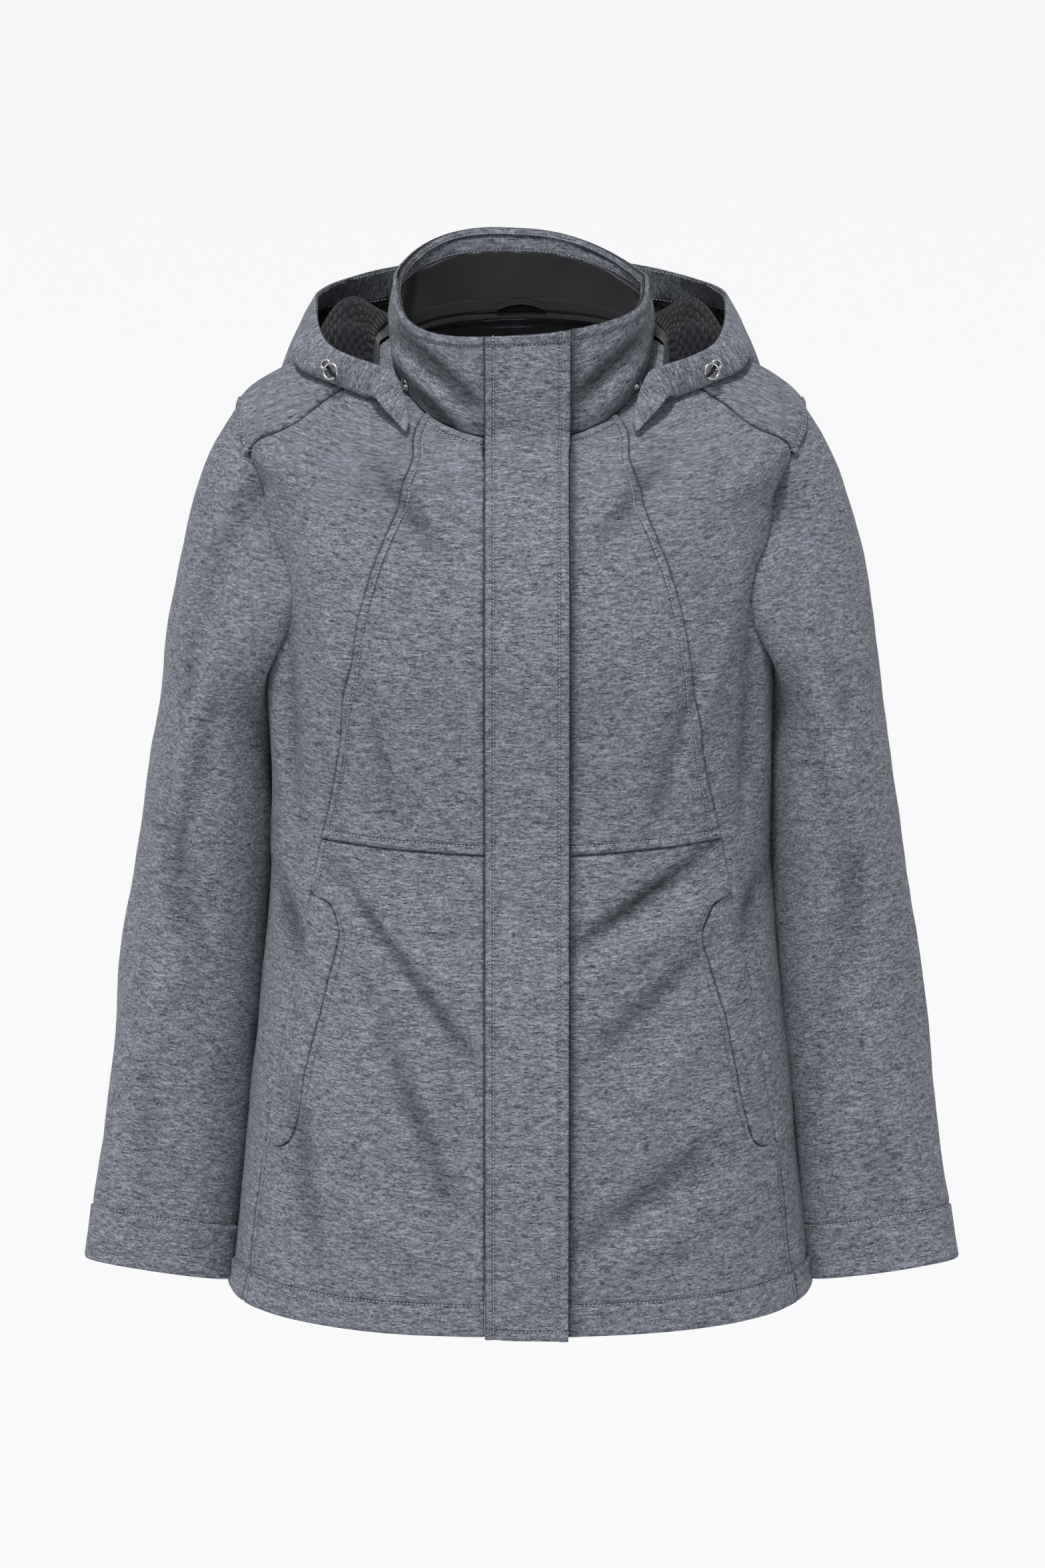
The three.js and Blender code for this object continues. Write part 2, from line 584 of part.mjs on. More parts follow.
// All the seams of the wearer's left half.
function makeSeams() {
  const armhole = armholeRuns();
  const princessAt = (z) => placeAt(valueAt(PRINCESS, "x", z), z);
  const down = (from, to, count) => steps(count, (t) => princessAt(from + (to - from) * t));
  const waistZ = WAIST[WAIST.length - 1].z;
  const hem = atX(PRINCESS[0].x, 0);
  const neck = atX(PRINCESS[PRINCESS.length - 1].x, 1);
  const princess = {
    hemToPocket: resampled([hem, princessAt(-630), princessAt(POCKET_FOOT_Z)], CELLS.hemToPocket),
    pocket: down(POCKET_FOOT_Z, POCKET_HEAD_Z, CELLS.pocket),
    pocketToWaist: down(POCKET_HEAD_Z, waistZ, CELLS.pocketToWaist),
    waistToNeck: [...down(waistZ, PRINCESS[PRINCESS.length - 1].at, CELLS.waistToNeck).slice(0, -1), neck],
  };
  const link = (run, first, last) => [first, ...run.slice(1, -1), last];
  const foot = princess.hemToPocket[CELLS.hemToPocket];
  const head = princess.pocketToWaist[0];
  const yokeFront = seamAlong(YOKE_FRONT, CELLS.yokeFront);
  yokeFront[0] = armhole.over[0];
  yokeFront[CELLS.yokeFront] = atX(YOKE_FRONT[YOKE_FRONT.length - 1].x, 1);
  const yokeBack = seamAlong(YOKE_BACK, CELLS.backHalf, "back");
  yokeBack[0] = armhole.over[CELLS.overShoulder];
  const footCurve = seamAlong(POCKET_FOOT_CURVE, CELLS.pocketEnd);
  const headCurve = seamAlong(POCKET_HEAD_CURVE, CELLS.pocketEnd);
  return {
    armhole,
    princess: { ...princess, pocket: link(princess.pocket, foot, head) },
    pocketFoot: [foot, ...footCurve.slice(1)],
    pocketEdge: link(seamAlong(POCKET_EDGE, CELLS.pocket), footCurve[CELLS.pocketEnd], headCurve[0]),
    pocketHead: [...headCurve.slice(0, -1), head],
    yokeFront,
    yokeBack,
    sideSeam: steps(CELLS.sideSeam, (t) => ({ turn: Math.PI / 2, at: ARMPIT_AT * t })),
  };
}

// A run along a ring between two turns, ends included.
const alongRing = (from, to, count) =>
  steps(count, (t) => ({ turn: from.turn + (to.turn - from.turn) * t, at: from.at + (to.at - from.at) * t }));

// A run round the back along a ring, with a place exactly on each side line. "front" cells lie ahead
// of each side.
function roundBySides(left, right, front, count) {
  const side = { turn: Math.PI / 2, at: left.at };
  const otherSide = { turn: (3 * Math.PI) / 2, at: left.at };
  return joined(
    alongRing(left, side, front),
    alongRing(side, otherSide, count - 2 * front),
    alongRing(otherSide, right, front),
  );
}

// A front's centre line, from one ring to another, at a steady distance from the centre.
const centreLine = (x, from, to, count) => steps(count, (t) => atX(x, from + (to - from) * t));

// Waist seam from the centre line to the princess seam.
function waistRun(x, princessPoint, count) {
  const ends = [{ x, z: WAIST[0].z }, ...WAIST.filter((p) => p.x > x + 20)];
  const run = seamAlong(ends, count);
  run[count] = princessPoint;
  return run;
}

function frontPanels(seams, edgeX) {
  const { princess } = seams;
  const waistPoint = princess.pocketToWaist[CELLS.pocketToWaist];
  const waist = waistRun(edgeX, waistPoint, CELLS.centre);
  const neckPoint = princess.waistToNeck[CELLS.waistToNeck];
  const centreUpper = centreLine(edgeX, waist[0].at, 1, CELLS.waistToNeck);
  centreUpper[0] = waist[0];
  const upper = fillBetween(
    centreUpper,
    princess.waistToNeck,
    waist,
    alongRing(centreUpper[CELLS.waistToNeck], neckPoint, CELLS.centre),
  );
  const besidePocket = joined(
    princess.hemToPocket,
    seams.pocketFoot,
    seams.pocketEdge,
    seams.pocketHead,
    princess.pocketToWaist,
  );
  const centreLower = centreLine(edgeX, 0, waist[0].at, besidePocket.length - 1);
  centreLower[besidePocket.length - 1] = waist[0];
  const lower = fillBetween(
    centreLower,
    besidePocket,
    alongRing(centreLower[0], besidePocket[0], CELLS.centre),
    waist,
  );
  const pocket = fillBetween(seams.pocketEdge, princess.pocket, reversed(seams.pocketFoot), seams.pocketHead);
  return { upper, lower, pocket };
}

function sidePanel(seams) {
  const { princess, armhole, yokeFront } = seams;
  const seam = joined(princess.hemToPocket, princess.pocket, princess.pocketToWaist, princess.waistToNeck);
  const neck = seam[seam.length - 1];
  return fillBetween(
    seam,
    joined(seams.sideSeam, armhole.front),
    alongRing(seam[0], seams.sideSeam[0], CELLS.side),
    [neck, ...reversed(yokeFront)],
  );
}

function backPanel(seams) {
  const edge = joined(seams.sideSeam, seams.armhole.back);
  const beyond = (run) => run.map((p) => ({ ...mirrored(p), turn: 2 * Math.PI - p.turn }));
  const far = beyond(edge);
  const top = joined(seams.yokeBack, reversed(beyond(seams.yokeBack)));
  return fillBetween(edge, far, alongRing(edge[0], far[0], 2 * CELLS.backHalf), top);
}

function yokePanel(seams) {
  const beyond = (run) => run.map((p) => ({ ...mirrored(p), turn: 2 * Math.PI - p.turn }));
  const half = joined(seams.armhole.over, seams.yokeBack);
  const outer = joined(half, reversed(beyond(half)));
  const right = beyond(seams.yokeFront);
  const [from, to] = [seams.yokeFront[CELLS.yokeFront], right[CELLS.yokeFront]];
  const neck = roundBySides(from, to, CELLS.overShoulder / 2, outer.length - 1);
  return fillBetween(seams.yokeFront, right, outer, neck);
}

// The sleeve on the wearer's left: its first ring is the armhole, from the tip round by the front.
function sleevePoints(seams) {
  const { armhole } = seams;
  const half = CELLS.overShoulder / 2;
  const frontHalf = joined(reversed(armhole.over.slice(0, half + 1)), reversed(armhole.front));
  const backHalf = joined(armhole.over.slice(half), reversed(armhole.back));
  const loop = [...frontHalf, ...reversed(backHalf).slice(1, -1)];
  const first = loop.map((place) => skin(place));
  const angles = ringAngles(first, frontHalf.length - 1);
  const rows = [];
  for (let j = 0; j <= SLEEVE_ROWS.cap; j++) {
    const t = j / SLEEVE_ROWS.cap;
    rows.push(first.map((start, k) => capPoint(start, angles[k], t)));
  }
  for (let j = 1; j <= SLEEVE_ROWS.tube; j++) {
    rows.push(angles.map((angle) => sleevePoint(angle, j / SLEEVE_ROWS.tube)));
  }
  return { loop, rows, angles };
}

// The angle round the arm of each armhole point, from its share of the way to the armpit.
function ringAngles(points, armpitIndex) {
  const count = points.length;
  const reach = [0];
  for (let k = 1; k <= count; k++) {
    reach.push(reach[k - 1] + points[k % count].distanceTo(points[k - 1]));
  }
  const toArmpit = reach[armpitIndex];
  const rest = reach[count] - toArmpit;
  return points.map((_, k) =>
    k <= armpitIndex ? (Math.PI * reach[k]) / toArmpit : Math.PI * (1 + (reach[k] - toArmpit) / rest),
  );
}

function sleeveFoldHeight(angle, along) {
  const radius = 60;
  const armLength = 410;
  const degrees = THREE.MathUtils.radToDeg(angle > Math.PI ? angle - 2 * Math.PI : angle);
  let height = 0;
  for (const fold of SLEEVE_FOLDS) {
    const t = THREE.MathUtils.clamp((along - fold.along) / fold.length, 0, 1);
    const dRound = rad(degrees - fold.round - fold.slant * t) * radius;
    const dAlong = (along - fold.along - fold.length * t) * armLength;
    const fade = 0.3 + 0.7 * Math.sin(Math.PI * t);
    height += fold.deep * fade * Math.exp(-(dRound ** 2 + dAlong ** 2) / fold.wide ** 2);
  }
  return height;
}

// A point of the sleeve's tube: angle 0 is the outer side, 90 degrees the front.
function sleevePoint(angle, at, folded = true) {
  const size = (column) => valueAt(SLEEVE_SECTIONS, column, at);
  const power = 2 / SLEEVE_SQUARE;
  const outward = signedPower(Math.cos(angle), power);
  const forward = signedPower(Math.sin(angle), power);
  const fold = folded ? sleeveFoldHeight(angle, at) : 0;
  const x = (size("halfX") + fold) * outward;
  const y = (size("halfY") + fold) * forward;
  return new THREE.Vector3(
    size("x") + x,
    size("y") - y,
    size("z") + x * Math.tan(rad(size("tilt"))) + y * Math.tan(rad(SLEEVE_PITCH)),
  );
}

// Between the armhole and the tube the cloth leaves the seam outwards and then falls.
function capPoint(start, angle, t) {
  const end = sleevePoint(angle, 0, false);
  const below = sleevePoint(angle, 0.02, false);
  const length = start.distanceTo(end);
  const inner = (1 - Math.cos(angle)) / 2;
  const leave = new THREE.Vector3(0.58 - 0.25 * inner, -0.42 * Math.sin(angle), -0.8 - 0.1 * inner);
  const arrive = below.sub(end).normalize().multiplyScalar(length);
  leave.normalize().multiplyScalar(length);
  const t2 = t * t;
  const t3 = t2 * t;
  const point = start.clone().multiplyScalar(2 * t3 - 3 * t2 + 1);
  point.addScaledVector(leave, t3 - 2 * t2 + t);
  point.addScaledVector(end, 3 * t2 - 2 * t3);
  point.addScaledVector(arrive, t3 - t2);
  const out = new THREE.Vector3(Math.cos(angle), -Math.sin(angle), 0);
  const fade = THREE.MathUtils.smoothstep(t, 0, 0.5);
  return point.addScaledVector(out, fade * sleeveFoldHeight(angle, (t - 1) * 0.5));
}

// The sleeve's wall, and the normals that its seam with the body shares.
function makeSleeve(seams) {
  const { loop, rows } = sleevePoints(seams);
  const normals = gridNormals(rows, true);
  const outward = normals[2][0].x > 0 ? 1 : -1;
  for (const row of normals) for (const normal of row) normal.multiplyScalar(outward);
  loop.forEach((place, k) => {
    const body = ringNormal(BODY_RINGS, place.turn, place.at);
    const shared = body.add(normals[0][k]).normalize();
    place.normal = shared;
    normals[0][k] = shared;
  });
  rows[0].forEach((point, k) => {
    const along = rows[1][k].clone().sub(point).normalize();
    point.addScaledVector(along, SEAM_GAP);
  });
  return wallBetween(rows, movedOut(rows, normals, -CLOTH), true);
}

// The other side of a geometry that was made for the wearer's left.
function mirrorOf(geometry) {
  const other = geometry.clone().scale(-1, 1, 1);
  other.setIndex([...geometry.index.array].reverse());
  return other;
}

// The rows of a front's centre line, which the flap and the zip share.
function centreRows() {
  const besidePocket = CELLS.hemToPocket + 2 * CELLS.pocketEnd + CELLS.pocket + CELLS.pocketToWaist;
  const waistAt = placeAt(FLAP.freeX, WAIST[0].z).at;
  return joined(
    steps(besidePocket, (t) => waistAt * t),
    steps(CELLS.waistToNeck, (t) => waistAt + (1 - waistAt) * t),
  );
}

// The storm flap: flush with the front at its seam, and lying over the other front at its free edge.
function stormFlap() {
  const collarRows = steps(CELLS.collarUp, (t) => 1 + t);
  const rows = joined([-FLAP.drop / BODY_TALL, ...centreRows()], collarRows);
  const lift = (share) => THREE.MathUtils.smoothstep(share, 0, FLAP.rise);
  const across = FLAP.freeX - FLAP.seamX;
  const fromX = FLAP.seamX + SEAM_GAP / 2;
  const layer = (height) =>
    rows.map((at) =>
      steps(CELLS.flapAcross, (share) => {
        const x = fromX + (across - SEAM_GAP / 2) * share;
        return acrossNeck(x, at, height(lift(share)));
      }),
    );
  return wallBetween(
    layer((raised) => raised * (FLAP.thick + 2 * SEAM_GAP)),
    layer((raised) => -CLOTH + raised * (CLOTH + 2 * SEAM_GAP)),
  );
}

// A point over the centre front, rounded where the body turns up into the collar.
function acrossNeck(x, at, out) {
  const soften = Math.abs(at - 1) < NECK_SOFTEN ? NECK_SOFTEN - Math.abs(at - 1) : 0;
  const samples = [-1, -0.5, 0, 0.5, 1];
  const sum = new THREE.Vector3();
  for (const sample of samples) {
    const place = Math.min(at + sample * soften, 2);
    const rings = place > 1 ? COLLAR_RINGS : BODY_RINGS;
    sum.add(skin(atX(x, place, rings), out, rings));
  }
  return sum.divideScalar(samples.length);
}

// The closed zip behind the flap, a tape with its chain standing up from it.
function zip() {
  const middle = (ZIP.fromX + ZIP.toX) / 2;
  const half = ZIP.chain / 2;
  const xs = [ZIP.fromX, middle - 2 * half, middle - half, middle + half, middle + 2 * half, ZIP.toX];
  const rise = [0, 0, ZIP.chainRise, ZIP.chainRise, 0, 0];
  const rows = joined(
    centreRows().slice(1),
    steps(CELLS.collarUp, (t) => 1 + (ZIP.top - 1) * t),
  );
  const below = -CLOTH - 2 * LAYER_GAP;
  const ringsAt = (at) => (at > 1 ? COLLAR_RINGS : BODY_RINGS);
  const layer = (make) =>
    rows.map((at) => xs.map((x, i) => skin(atX(x, at, ringsAt(at)), make(i), ringsAt(at))));
  return wallBetween(
    layer((i) => below + rise[i] * 0.2),
    layer((i) => below - ZIP.thick - rise[i]),
  );
}

// Places on the collar, round its back from the free front edge to the flap's seam. All of its layers
// share the same columns, counted from the free edge.
function collarGrid(rows, first = 0, last = CELLS.collarRound) {
  return rows.map((at) => {
    const left = { turn: turnAtX(COLLAR_RINGS, FRONT_EDGE_X, at), at };
    const right = { turn: 2 * Math.PI + turnAtX(COLLAR_RINGS, FLAP.seamX, at), at };
    return roundBySides(left, right, CELLS.collarRound / 4, CELLS.collarRound).slice(first, last + 1);
  });
}

function collarPieces() {
  const bandFoot = 2 - COLLAR_BAND;
  const inside = -CLOTH - LAYER_GAP;
  const layers = { rings: COLLAR_RINGS, top: inside, bottom: inside - THIN_CLOTH };
  const first = 2;
  const last = CELLS.collarRound;
  const shell = collarGrid(steps(CELLS.collarUp, (t) => COLLAR_FROM + (2 - COLLAR_FROM) * t));
  const band = collarGrid(steps(2, (t) => bandFoot + COLLAR_BAND * t), first, last);
  const lining = collarGrid(steps(3, (t) => LINING_FROM + (bandFoot - LINING_FROM) * t), first, last);
  return {
    collar: panel(shell, { rings: COLLAR_RINGS }),
    collar_band: panel(band, layers),
    collar_lining: panel(lining, layers),
  };
}

// The tape over the back neck seam, inside the lining, and the loop to hang the jacket by.
function neckTape() {
  const out = -CLOTH - THIN_CLOTH - 2 * LAYER_GAP;
  const quarter = Math.round(CELLS.collarRound / 4);
  const rows = steps(1, (t) => NECK_TAPE.from + (NECK_TAPE.wide / COLLAR_TALL) * t);
  const grid = collarGrid(rows, quarter, CELLS.collarRound - quarter);
  return panel(grid, { rings: COLLAR_RINGS, top: out, bottom: out - NECK_TAPE.thick });
}

function hangerLoop() {
  const out = -CLOTH - THIN_CLOTH - NECK_TAPE.thick - 3 * LAYER_GAP;
  const strip = (extra) =>
    steps(HANGER.cells, (t) => {
      const arch = Math.sin(Math.PI * t);
      const low = HANGER.from + (HANGER.rise * arch) / COLLAR_TALL;
      return [low, low + HANGER.wide / COLLAR_TALL].map((at) => {
        const turn = turnAtX(COLLAR_RINGS, HANGER.span * (t - 0.5), at, "back");
        return skin({ turn, at }, out - HANGER.bow * arch - extra, COLLAR_RINGS);
      });
    });
  return wallBetween(strip(0), strip(HANGER.thick));
}

// A cross-section of the hood's outer face: from the neck seam over the shoulder or the back to its
// foot, then up to the rim.
function hoodSection(heading) {
  const size = (column) => valueAt(HOOD_SECTIONS, column, heading, "heading");
  const turn = rad(heading);
  const foot = size("foot");
  const inner = steps(HOOD_CELLS.inner, (t) => {
    const puff = size("puff") * Math.sin(Math.PI * t ** 0.7);
    return skin({ turn, at: HOOD_FROM + (foot - HOOD_FROM) * t }, HOOD_CLEAR + puff);
  });
  const last = inner[HOOD_CELLS.inner];
  const normal = ringNormal(BODY_RINGS, turn, foot);
  const footPoint = skin({ turn, at: foot }, HOOD_CLEAR);
  const down = footPoint.clone().sub(skin({ turn, at: foot + 0.01 }, HOOD_CLEAR)).normalize();
  const rim = new THREE.Vector3(size("rimX"), size("rimY"), size("rimZ"));
  const roll = size("roll");
  const low = last.clone().addScaledVector(down, roll).addScaledVector(normal, 0.3 * roll);
  const turned = last.clone().addScaledVector(down, 1.35 * roll).addScaledVector(normal, 1.3 * roll);
  const outwards = new THREE.Vector3(Math.sin(turn), -Math.cos(turn), 0);
  const middle = turned.clone().lerp(rim, 0.5).addScaledVector(outwards, size("bulge"));
  const curve = new THREE.CatmullRomCurve3([last, low, turned, middle, rim], false, "centripetal");
  const outer = steps(HOOD_CELLS.outer, (t) => curve.getPointAt(t));
  return joined(inner, outer);
}

// One half of the hood: its shell, the band inside its edge and the quilted lining. All share the
// shell's columns, counted from the front end.
function hoodHalf() {
  const first = HOOD_SECTIONS[0].heading;
  const last = 180 - HALF_HOOD_GAP;
  const sections = steps(HOOD_CELLS.half, (t) => hoodSection(first + (last - first) * t));
  const normals = gridNormals(sections);
  const rim = HOOD_CELLS.inner + HOOD_CELLS.outer;
  const bandFoot = rim - HOOD_CELLS.band;
  const middle = Math.round(HOOD_CELLS.half * 0.8);
  const sign = normals[middle][rim - 2].y > 0 ? 1 : -1;
  for (const row of normals) for (const normal of row) normal.multiplyScalar(sign);
  const layer = (out, from = 0, low = 0, high = rim) => {
    const cut = (grid) => grid.slice(from).map((row) => row.slice(low, high + 1));
    return movedOut(cut(sections), cut(normals), out);
  };
  const inside = -CLOTH - LAYER_GAP;
  const under = inside - THIN_CLOTH;
  const from = HOOD_LINING_FROM;
  return {
    sections,
    normals,
    shell: wallBetween(layer(0), layer(-CLOTH)),
    band: wallBetween(layer(inside, 0, bandFoot), layer(under, 0, bandFoot)),
    lining: wallBetween(layer(inside, from, 1, bandFoot - 1), layer(under, from, 1, bandFoot - 1)),
  };
}

// A strap end of the hood: a strip that narrows to its tip, beside the collar.
function hoodTab(hood) {
  const root = hood.sections[0];
  const rim = root[root.length - 1];
  const low = root[HOOD_CELLS.inner + 2];
  const start = { at: 0, lowX: low.x, lowY: low.y, lowZ: low.z, upX: rim.x, upY: rim.y, upZ: rim.z };
  const table = [start, ...TAB_ROWS];
  const gap = 2 * SEAM_GAP;
  const rows = steps(8, (t) => {
    const at = 0.02 + 0.98 * t;
    const size = (column) => valueAt(table, column, at);
    const from = new THREE.Vector3(size("lowX"), size("lowY"), size("lowZ"));
    const to = new THREE.Vector3(size("upX"), size("upY"), size("upZ"));
    return steps(3, (share) => from.clone().lerp(to, share));
  });
  const normals = gridNormals(rows);
  const sign = normals[4][1].y < 0 ? 1 : -1;
  for (const row of normals) for (const normal of row) normal.multiplyScalar(sign);
  const away = rows[0][1].clone().sub(root[root.length - 3]).setLength(gap);
  for (const point of rows[0]) point.add(away);
  return { rows, normals, solid: wallBetween(rows, movedOut(rows, normals, -TAB_THICK)) };
}

// Metal and cord trim: eyelets, cord rings, the elastic loops through them, and the snaps.
function placeFacing(geometry, point, normal) {
  const turned = new THREE.Quaternion().setFromUnitVectors(new THREE.Vector3(0, 0, 1), normal);
  return geometry.clone().applyQuaternion(turned).translate(point.x, point.y, point.z);
}

function hoodTrim(hood) {
  const row = HOOD_CELLS.inner + EYELET.row;
  const point = hood.sections[EYELET.column][row];
  const normal = hood.normals[EYELET.column][row];
  const forwards = hood.sections[EYELET.column - 1][row - 1].clone().sub(point).normalize();
  const out = (along, away) =>
    point.clone().addScaledVector(forwards, along).addScaledVector(normal, away);
  const { radius, wire, away, rise } = CORD_RING;
  const loop = new THREE.CatmullRomCurve3(CORD_PATH.map(({ along, up }) => out(along, up)));
  return {
    eyelet: placeFacing(
      new THREE.TorusGeometry(EYELET.radius, EYELET.wire, 6, 14),
      out(0, EYELET.wire + SEAM_GAP),
      normal,
    ),
    ring: placeFacing(new THREE.TorusGeometry(radius, wire, 6, 16), out(away, rise), normal),
    cord: closedTube(loop, 9, CORD.diameter / 2, 8),
  };
}

// A tube with closed ends.
function closedTube(curve, segments, radius, sides) {
  const frames = curve.computeFrenetFrames(segments, false);
  const positions = [];
  for (let i = 0; i <= segments; i++) {
    const centre = curve.getPointAt(i / segments);
    for (let k = 0; k < sides; k++) {
      const angle = (2 * Math.PI * k) / sides;
      const offset = frames.normals[i].clone().multiplyScalar(radius * Math.cos(angle));
      offset.addScaledVector(frames.binormals[i], radius * Math.sin(angle));
      positions.push(centre.clone().add(offset));
    }
  }
  const index = [];
  for (let i = 0; i < segments; i++) {
    for (let k = 0; k < sides; k++) {
      const [a, b] = [i * sides + k, i * sides + ((k + 1) % sides)];
      index.push(a, b, b + sides, a, b + sides, a + sides);
    }
  }
  const last = segments * sides;
  for (let k = 1; k < sides - 1; k++) {
    index.push(0, k + 1, k);
    index.push(last, last + k, last + k + 1);
  }
  return closedGeometry(positions, index);
}

// The press stud that joins each strap end to the collar.
function snap() {
  const { radius, thick, turn, at } = SNAP;
  const profile = [
    [0, 0],
    [radius, 0],
    [radius, 0.45 * thick],
    [0.62 * radius, 0.55 * thick],
    [0.62 * radius, thick],
    [0, thick],
  ];
  const lathe = new THREE.LatheGeometry(
    profile.map(([r, h]) => new THREE.Vector2(r, h)),
    18,
  );
  lathe.rotateX(Math.PI / 2);
  const place = { turn: rad(turn), at };
  const normal = ringNormal(COLLAR_RINGS, place.turn, at);
  return placeFacing(lathe, skin(place, LAYER_GAP, COLLAR_RINGS), normal);
}

const shellCloth = new THREE.MeshStandardMaterial({ color: SHELL_GREY, roughness: 0.95 });
const darkCloth = new THREE.MeshStandardMaterial({ color: LINING_GREY, roughness: 0.9 });
const metal = new THREE.MeshStandardMaterial({ color: METAL_GREY, roughness: 0.25, metalness: 1 });
const elastic = new THREE.MeshStandardMaterial({ color: CORD_BLACK, roughness: 0.8 });

const jacket = new THREE.Group();

function add(name, geometry, material = shellCloth) {
  const mesh = new THREE.Mesh(geometry, material);
  mesh.name = name;
  jacket.add(mesh);
  return mesh;
}

function addPair(name, geometry, material = shellCloth) {
  add(`${name}_left`, geometry, material);
  add(`${name}_right`, mirrorOf(geometry), material);
}

function buildJacket() {
  const seams = makeSeams();
  addPair("sleeve", makeSleeve(seams));
  const leftFront = frontPanels(seams, FRONT_EDGE_X);
  const rightFront = frontPanels(seams, -FLAP.seamX);
  add("front_upper_left", panel(leftFront.upper));
  add("front_lower_left", panel(leftFront.lower));
  add("front_upper_right", mirrorOf(panel(rightFront.upper)));
  add("front_lower_right", mirrorOf(panel(rightFront.lower)));
  addPair("pocket_panel", panel(leftFront.pocket));
  addPair("front_side", panel(sidePanel(seams)));
  add("back", panel(backPanel(seams)));
  add("yoke", panel(yokePanel(seams)));
  add("storm_flap", stormFlap());
  add("zip", zip(), darkCloth);
  const { collar, collar_band, collar_lining } = collarPieces();
  add("collar", collar);
  add("collar_band", collar_band);
  add("collar_lining", collar_lining, darkCloth);
  add("neck_tape", neckTape(), darkCloth);
  add("hanger_loop", hangerLoop(), darkCloth);
  const hood = hoodHalf();
  addPair("hood", hood.shell);
  addPair("hood_band", hood.band);
  addPair("hood_lining", hood.lining, darkCloth);
  const tab = hoodTab(hood);
  addPair("hood_tab", tab.solid);
  const { eyelet, ring, cord } = hoodTrim(hood);
  addPair("eyelet", eyelet, metal);
  addPair("cord_ring", ring, metal);
  addPair("cord_loop", cord, elastic);
  addPair("snap", snap(), metal);
}

buildJacket();

export default jacket;
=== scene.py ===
# A women's hooded softshell jacket, zipped up and filled out by an unseen wearer.
# Sizes are in millimetres, in the frame of the CAD model: +Z up, the front towards -Y, and +X the
# wearer's left. Meshes are turned into metres when they are made.

import math

import bmesh
import bpy
import numpy as np
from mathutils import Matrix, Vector


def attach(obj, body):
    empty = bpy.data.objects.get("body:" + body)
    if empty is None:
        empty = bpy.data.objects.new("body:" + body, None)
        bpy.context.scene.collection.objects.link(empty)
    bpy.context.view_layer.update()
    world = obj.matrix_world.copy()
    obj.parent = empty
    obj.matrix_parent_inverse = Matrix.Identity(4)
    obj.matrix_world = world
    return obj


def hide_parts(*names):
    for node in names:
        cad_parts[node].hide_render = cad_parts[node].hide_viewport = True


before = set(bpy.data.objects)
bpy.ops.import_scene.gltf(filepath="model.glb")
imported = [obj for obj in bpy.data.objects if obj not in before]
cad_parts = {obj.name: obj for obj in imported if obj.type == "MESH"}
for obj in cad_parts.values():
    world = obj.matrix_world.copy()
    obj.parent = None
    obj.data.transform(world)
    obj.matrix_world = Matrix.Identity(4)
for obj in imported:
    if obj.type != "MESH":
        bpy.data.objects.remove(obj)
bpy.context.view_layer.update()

# The shell and its linings, the gap between layers, and the pitch of the topstitches.
CLOTH = 2.0
THIN_CLOTH = 1.0
LAYER_GAP = 0.5
STITCH_LENGTH = 2.9

# The storm flap's seam and free edge, how thick it is and how far its free edge springs up, and the
# edge of the front that lies under it.
FLAP_SEAM_X = -27.0
FLAP_EDGE_X = 34.5
FLAP_THICK = 2.8
FLAP_SPRING = 2.2
FRONT_EDGE_X = 1.0

# Places up the body: 0 is the hem, 1 the neck seam and 2 the edge of the stand collar. The rises are
# about what one step of that is, at the front of the body and at the back of the collar.
ARMPIT_AT = 0.697
SHOULDER_TIP_AT = 0.9
LINING_FROM = 0.985
COLLAR_FROM = 1.003
TAPE_FROM = 1.05
TAPE_TO = 1.19
COLLAR_BAND = 0.3
STUD_AT = 1.13
HANGER_AT = 1.06
BODY_RISE = 650.0
COLLAR_RISE = 75.0

# How high the loose folds of the collar's lining stand.
LINING_FOLD = 3.2

# The sleeve: how square and how pitched its sections are, the radius and length that its creases are
# laid out by, and how far its start is tucked under the seam, from the armpit up to the shoulder.
SLEEVE_SQUARE = 2.15
SLEEVE_PITCH = 6.0
SLEEVE_RADIUS = 60
SLEEVE_LENGTH = 410
ARMPIT_TUCK = 3.3
SHOULDER_TUCK = 0.9
TUCK_EASES = (0.82, 0.88)
UNDERARM_SLIT = 0.002

# Small parts of the trim.
EYELET_RADIUS = 3.6
CORD_RING_RADIUS = 5.8
ELASTIC_RADIUS = 1.3
HANGER_WIDTH = 38
HANGER_TAPE = 5
ZIP_TAPE = (-21, 13)
ZIP_PITCH = 2.4

# The knit's wales and courses, how far its rows wander, and for its two marls how long a shade lasts
# and, as a plain number, how far the pattern steps to the next row. Then the rows of the quilting.
WALE = 1.2
COURSE = 1.05
ROW_WANDER = 1.2
MARLS = ((2.4, 7.31), (8.0, 3.17))
QUILT_ROW = 10.5

# The camera, in metres: its place and target, the distance between them, and half the height of its
# view there. The floor lies far below the jacket, and its reach is in metres too.
CAMERA_PLACE = (0.001, -5.0, 0.4)
CAMERA_TARGET = (0.001, 0, -0.3155)
CAMERA_SENSOR = 36
VIEW_DISTANCE = 5.0509
VIEW_HALF_HEIGHT = 0.588
FLOOR_Z = -1500.0
FLOOR_REACH = 400


def between(t, start, leave, end, arrive, span=1.0):
    """A smooth way from a value and its slope to the next, by the share t of the span between them."""
    return (
        (2 * t**3 - 3 * t**2 + 1) * start
        + (t**3 - 2 * t**2 + t) * span * leave
        + (3 * t**2 - 2 * t**3) * end
        + (t**3 - t**2) * span * arrive
    )


def eased(t):
    return t**2 * (3 - 2 * t)


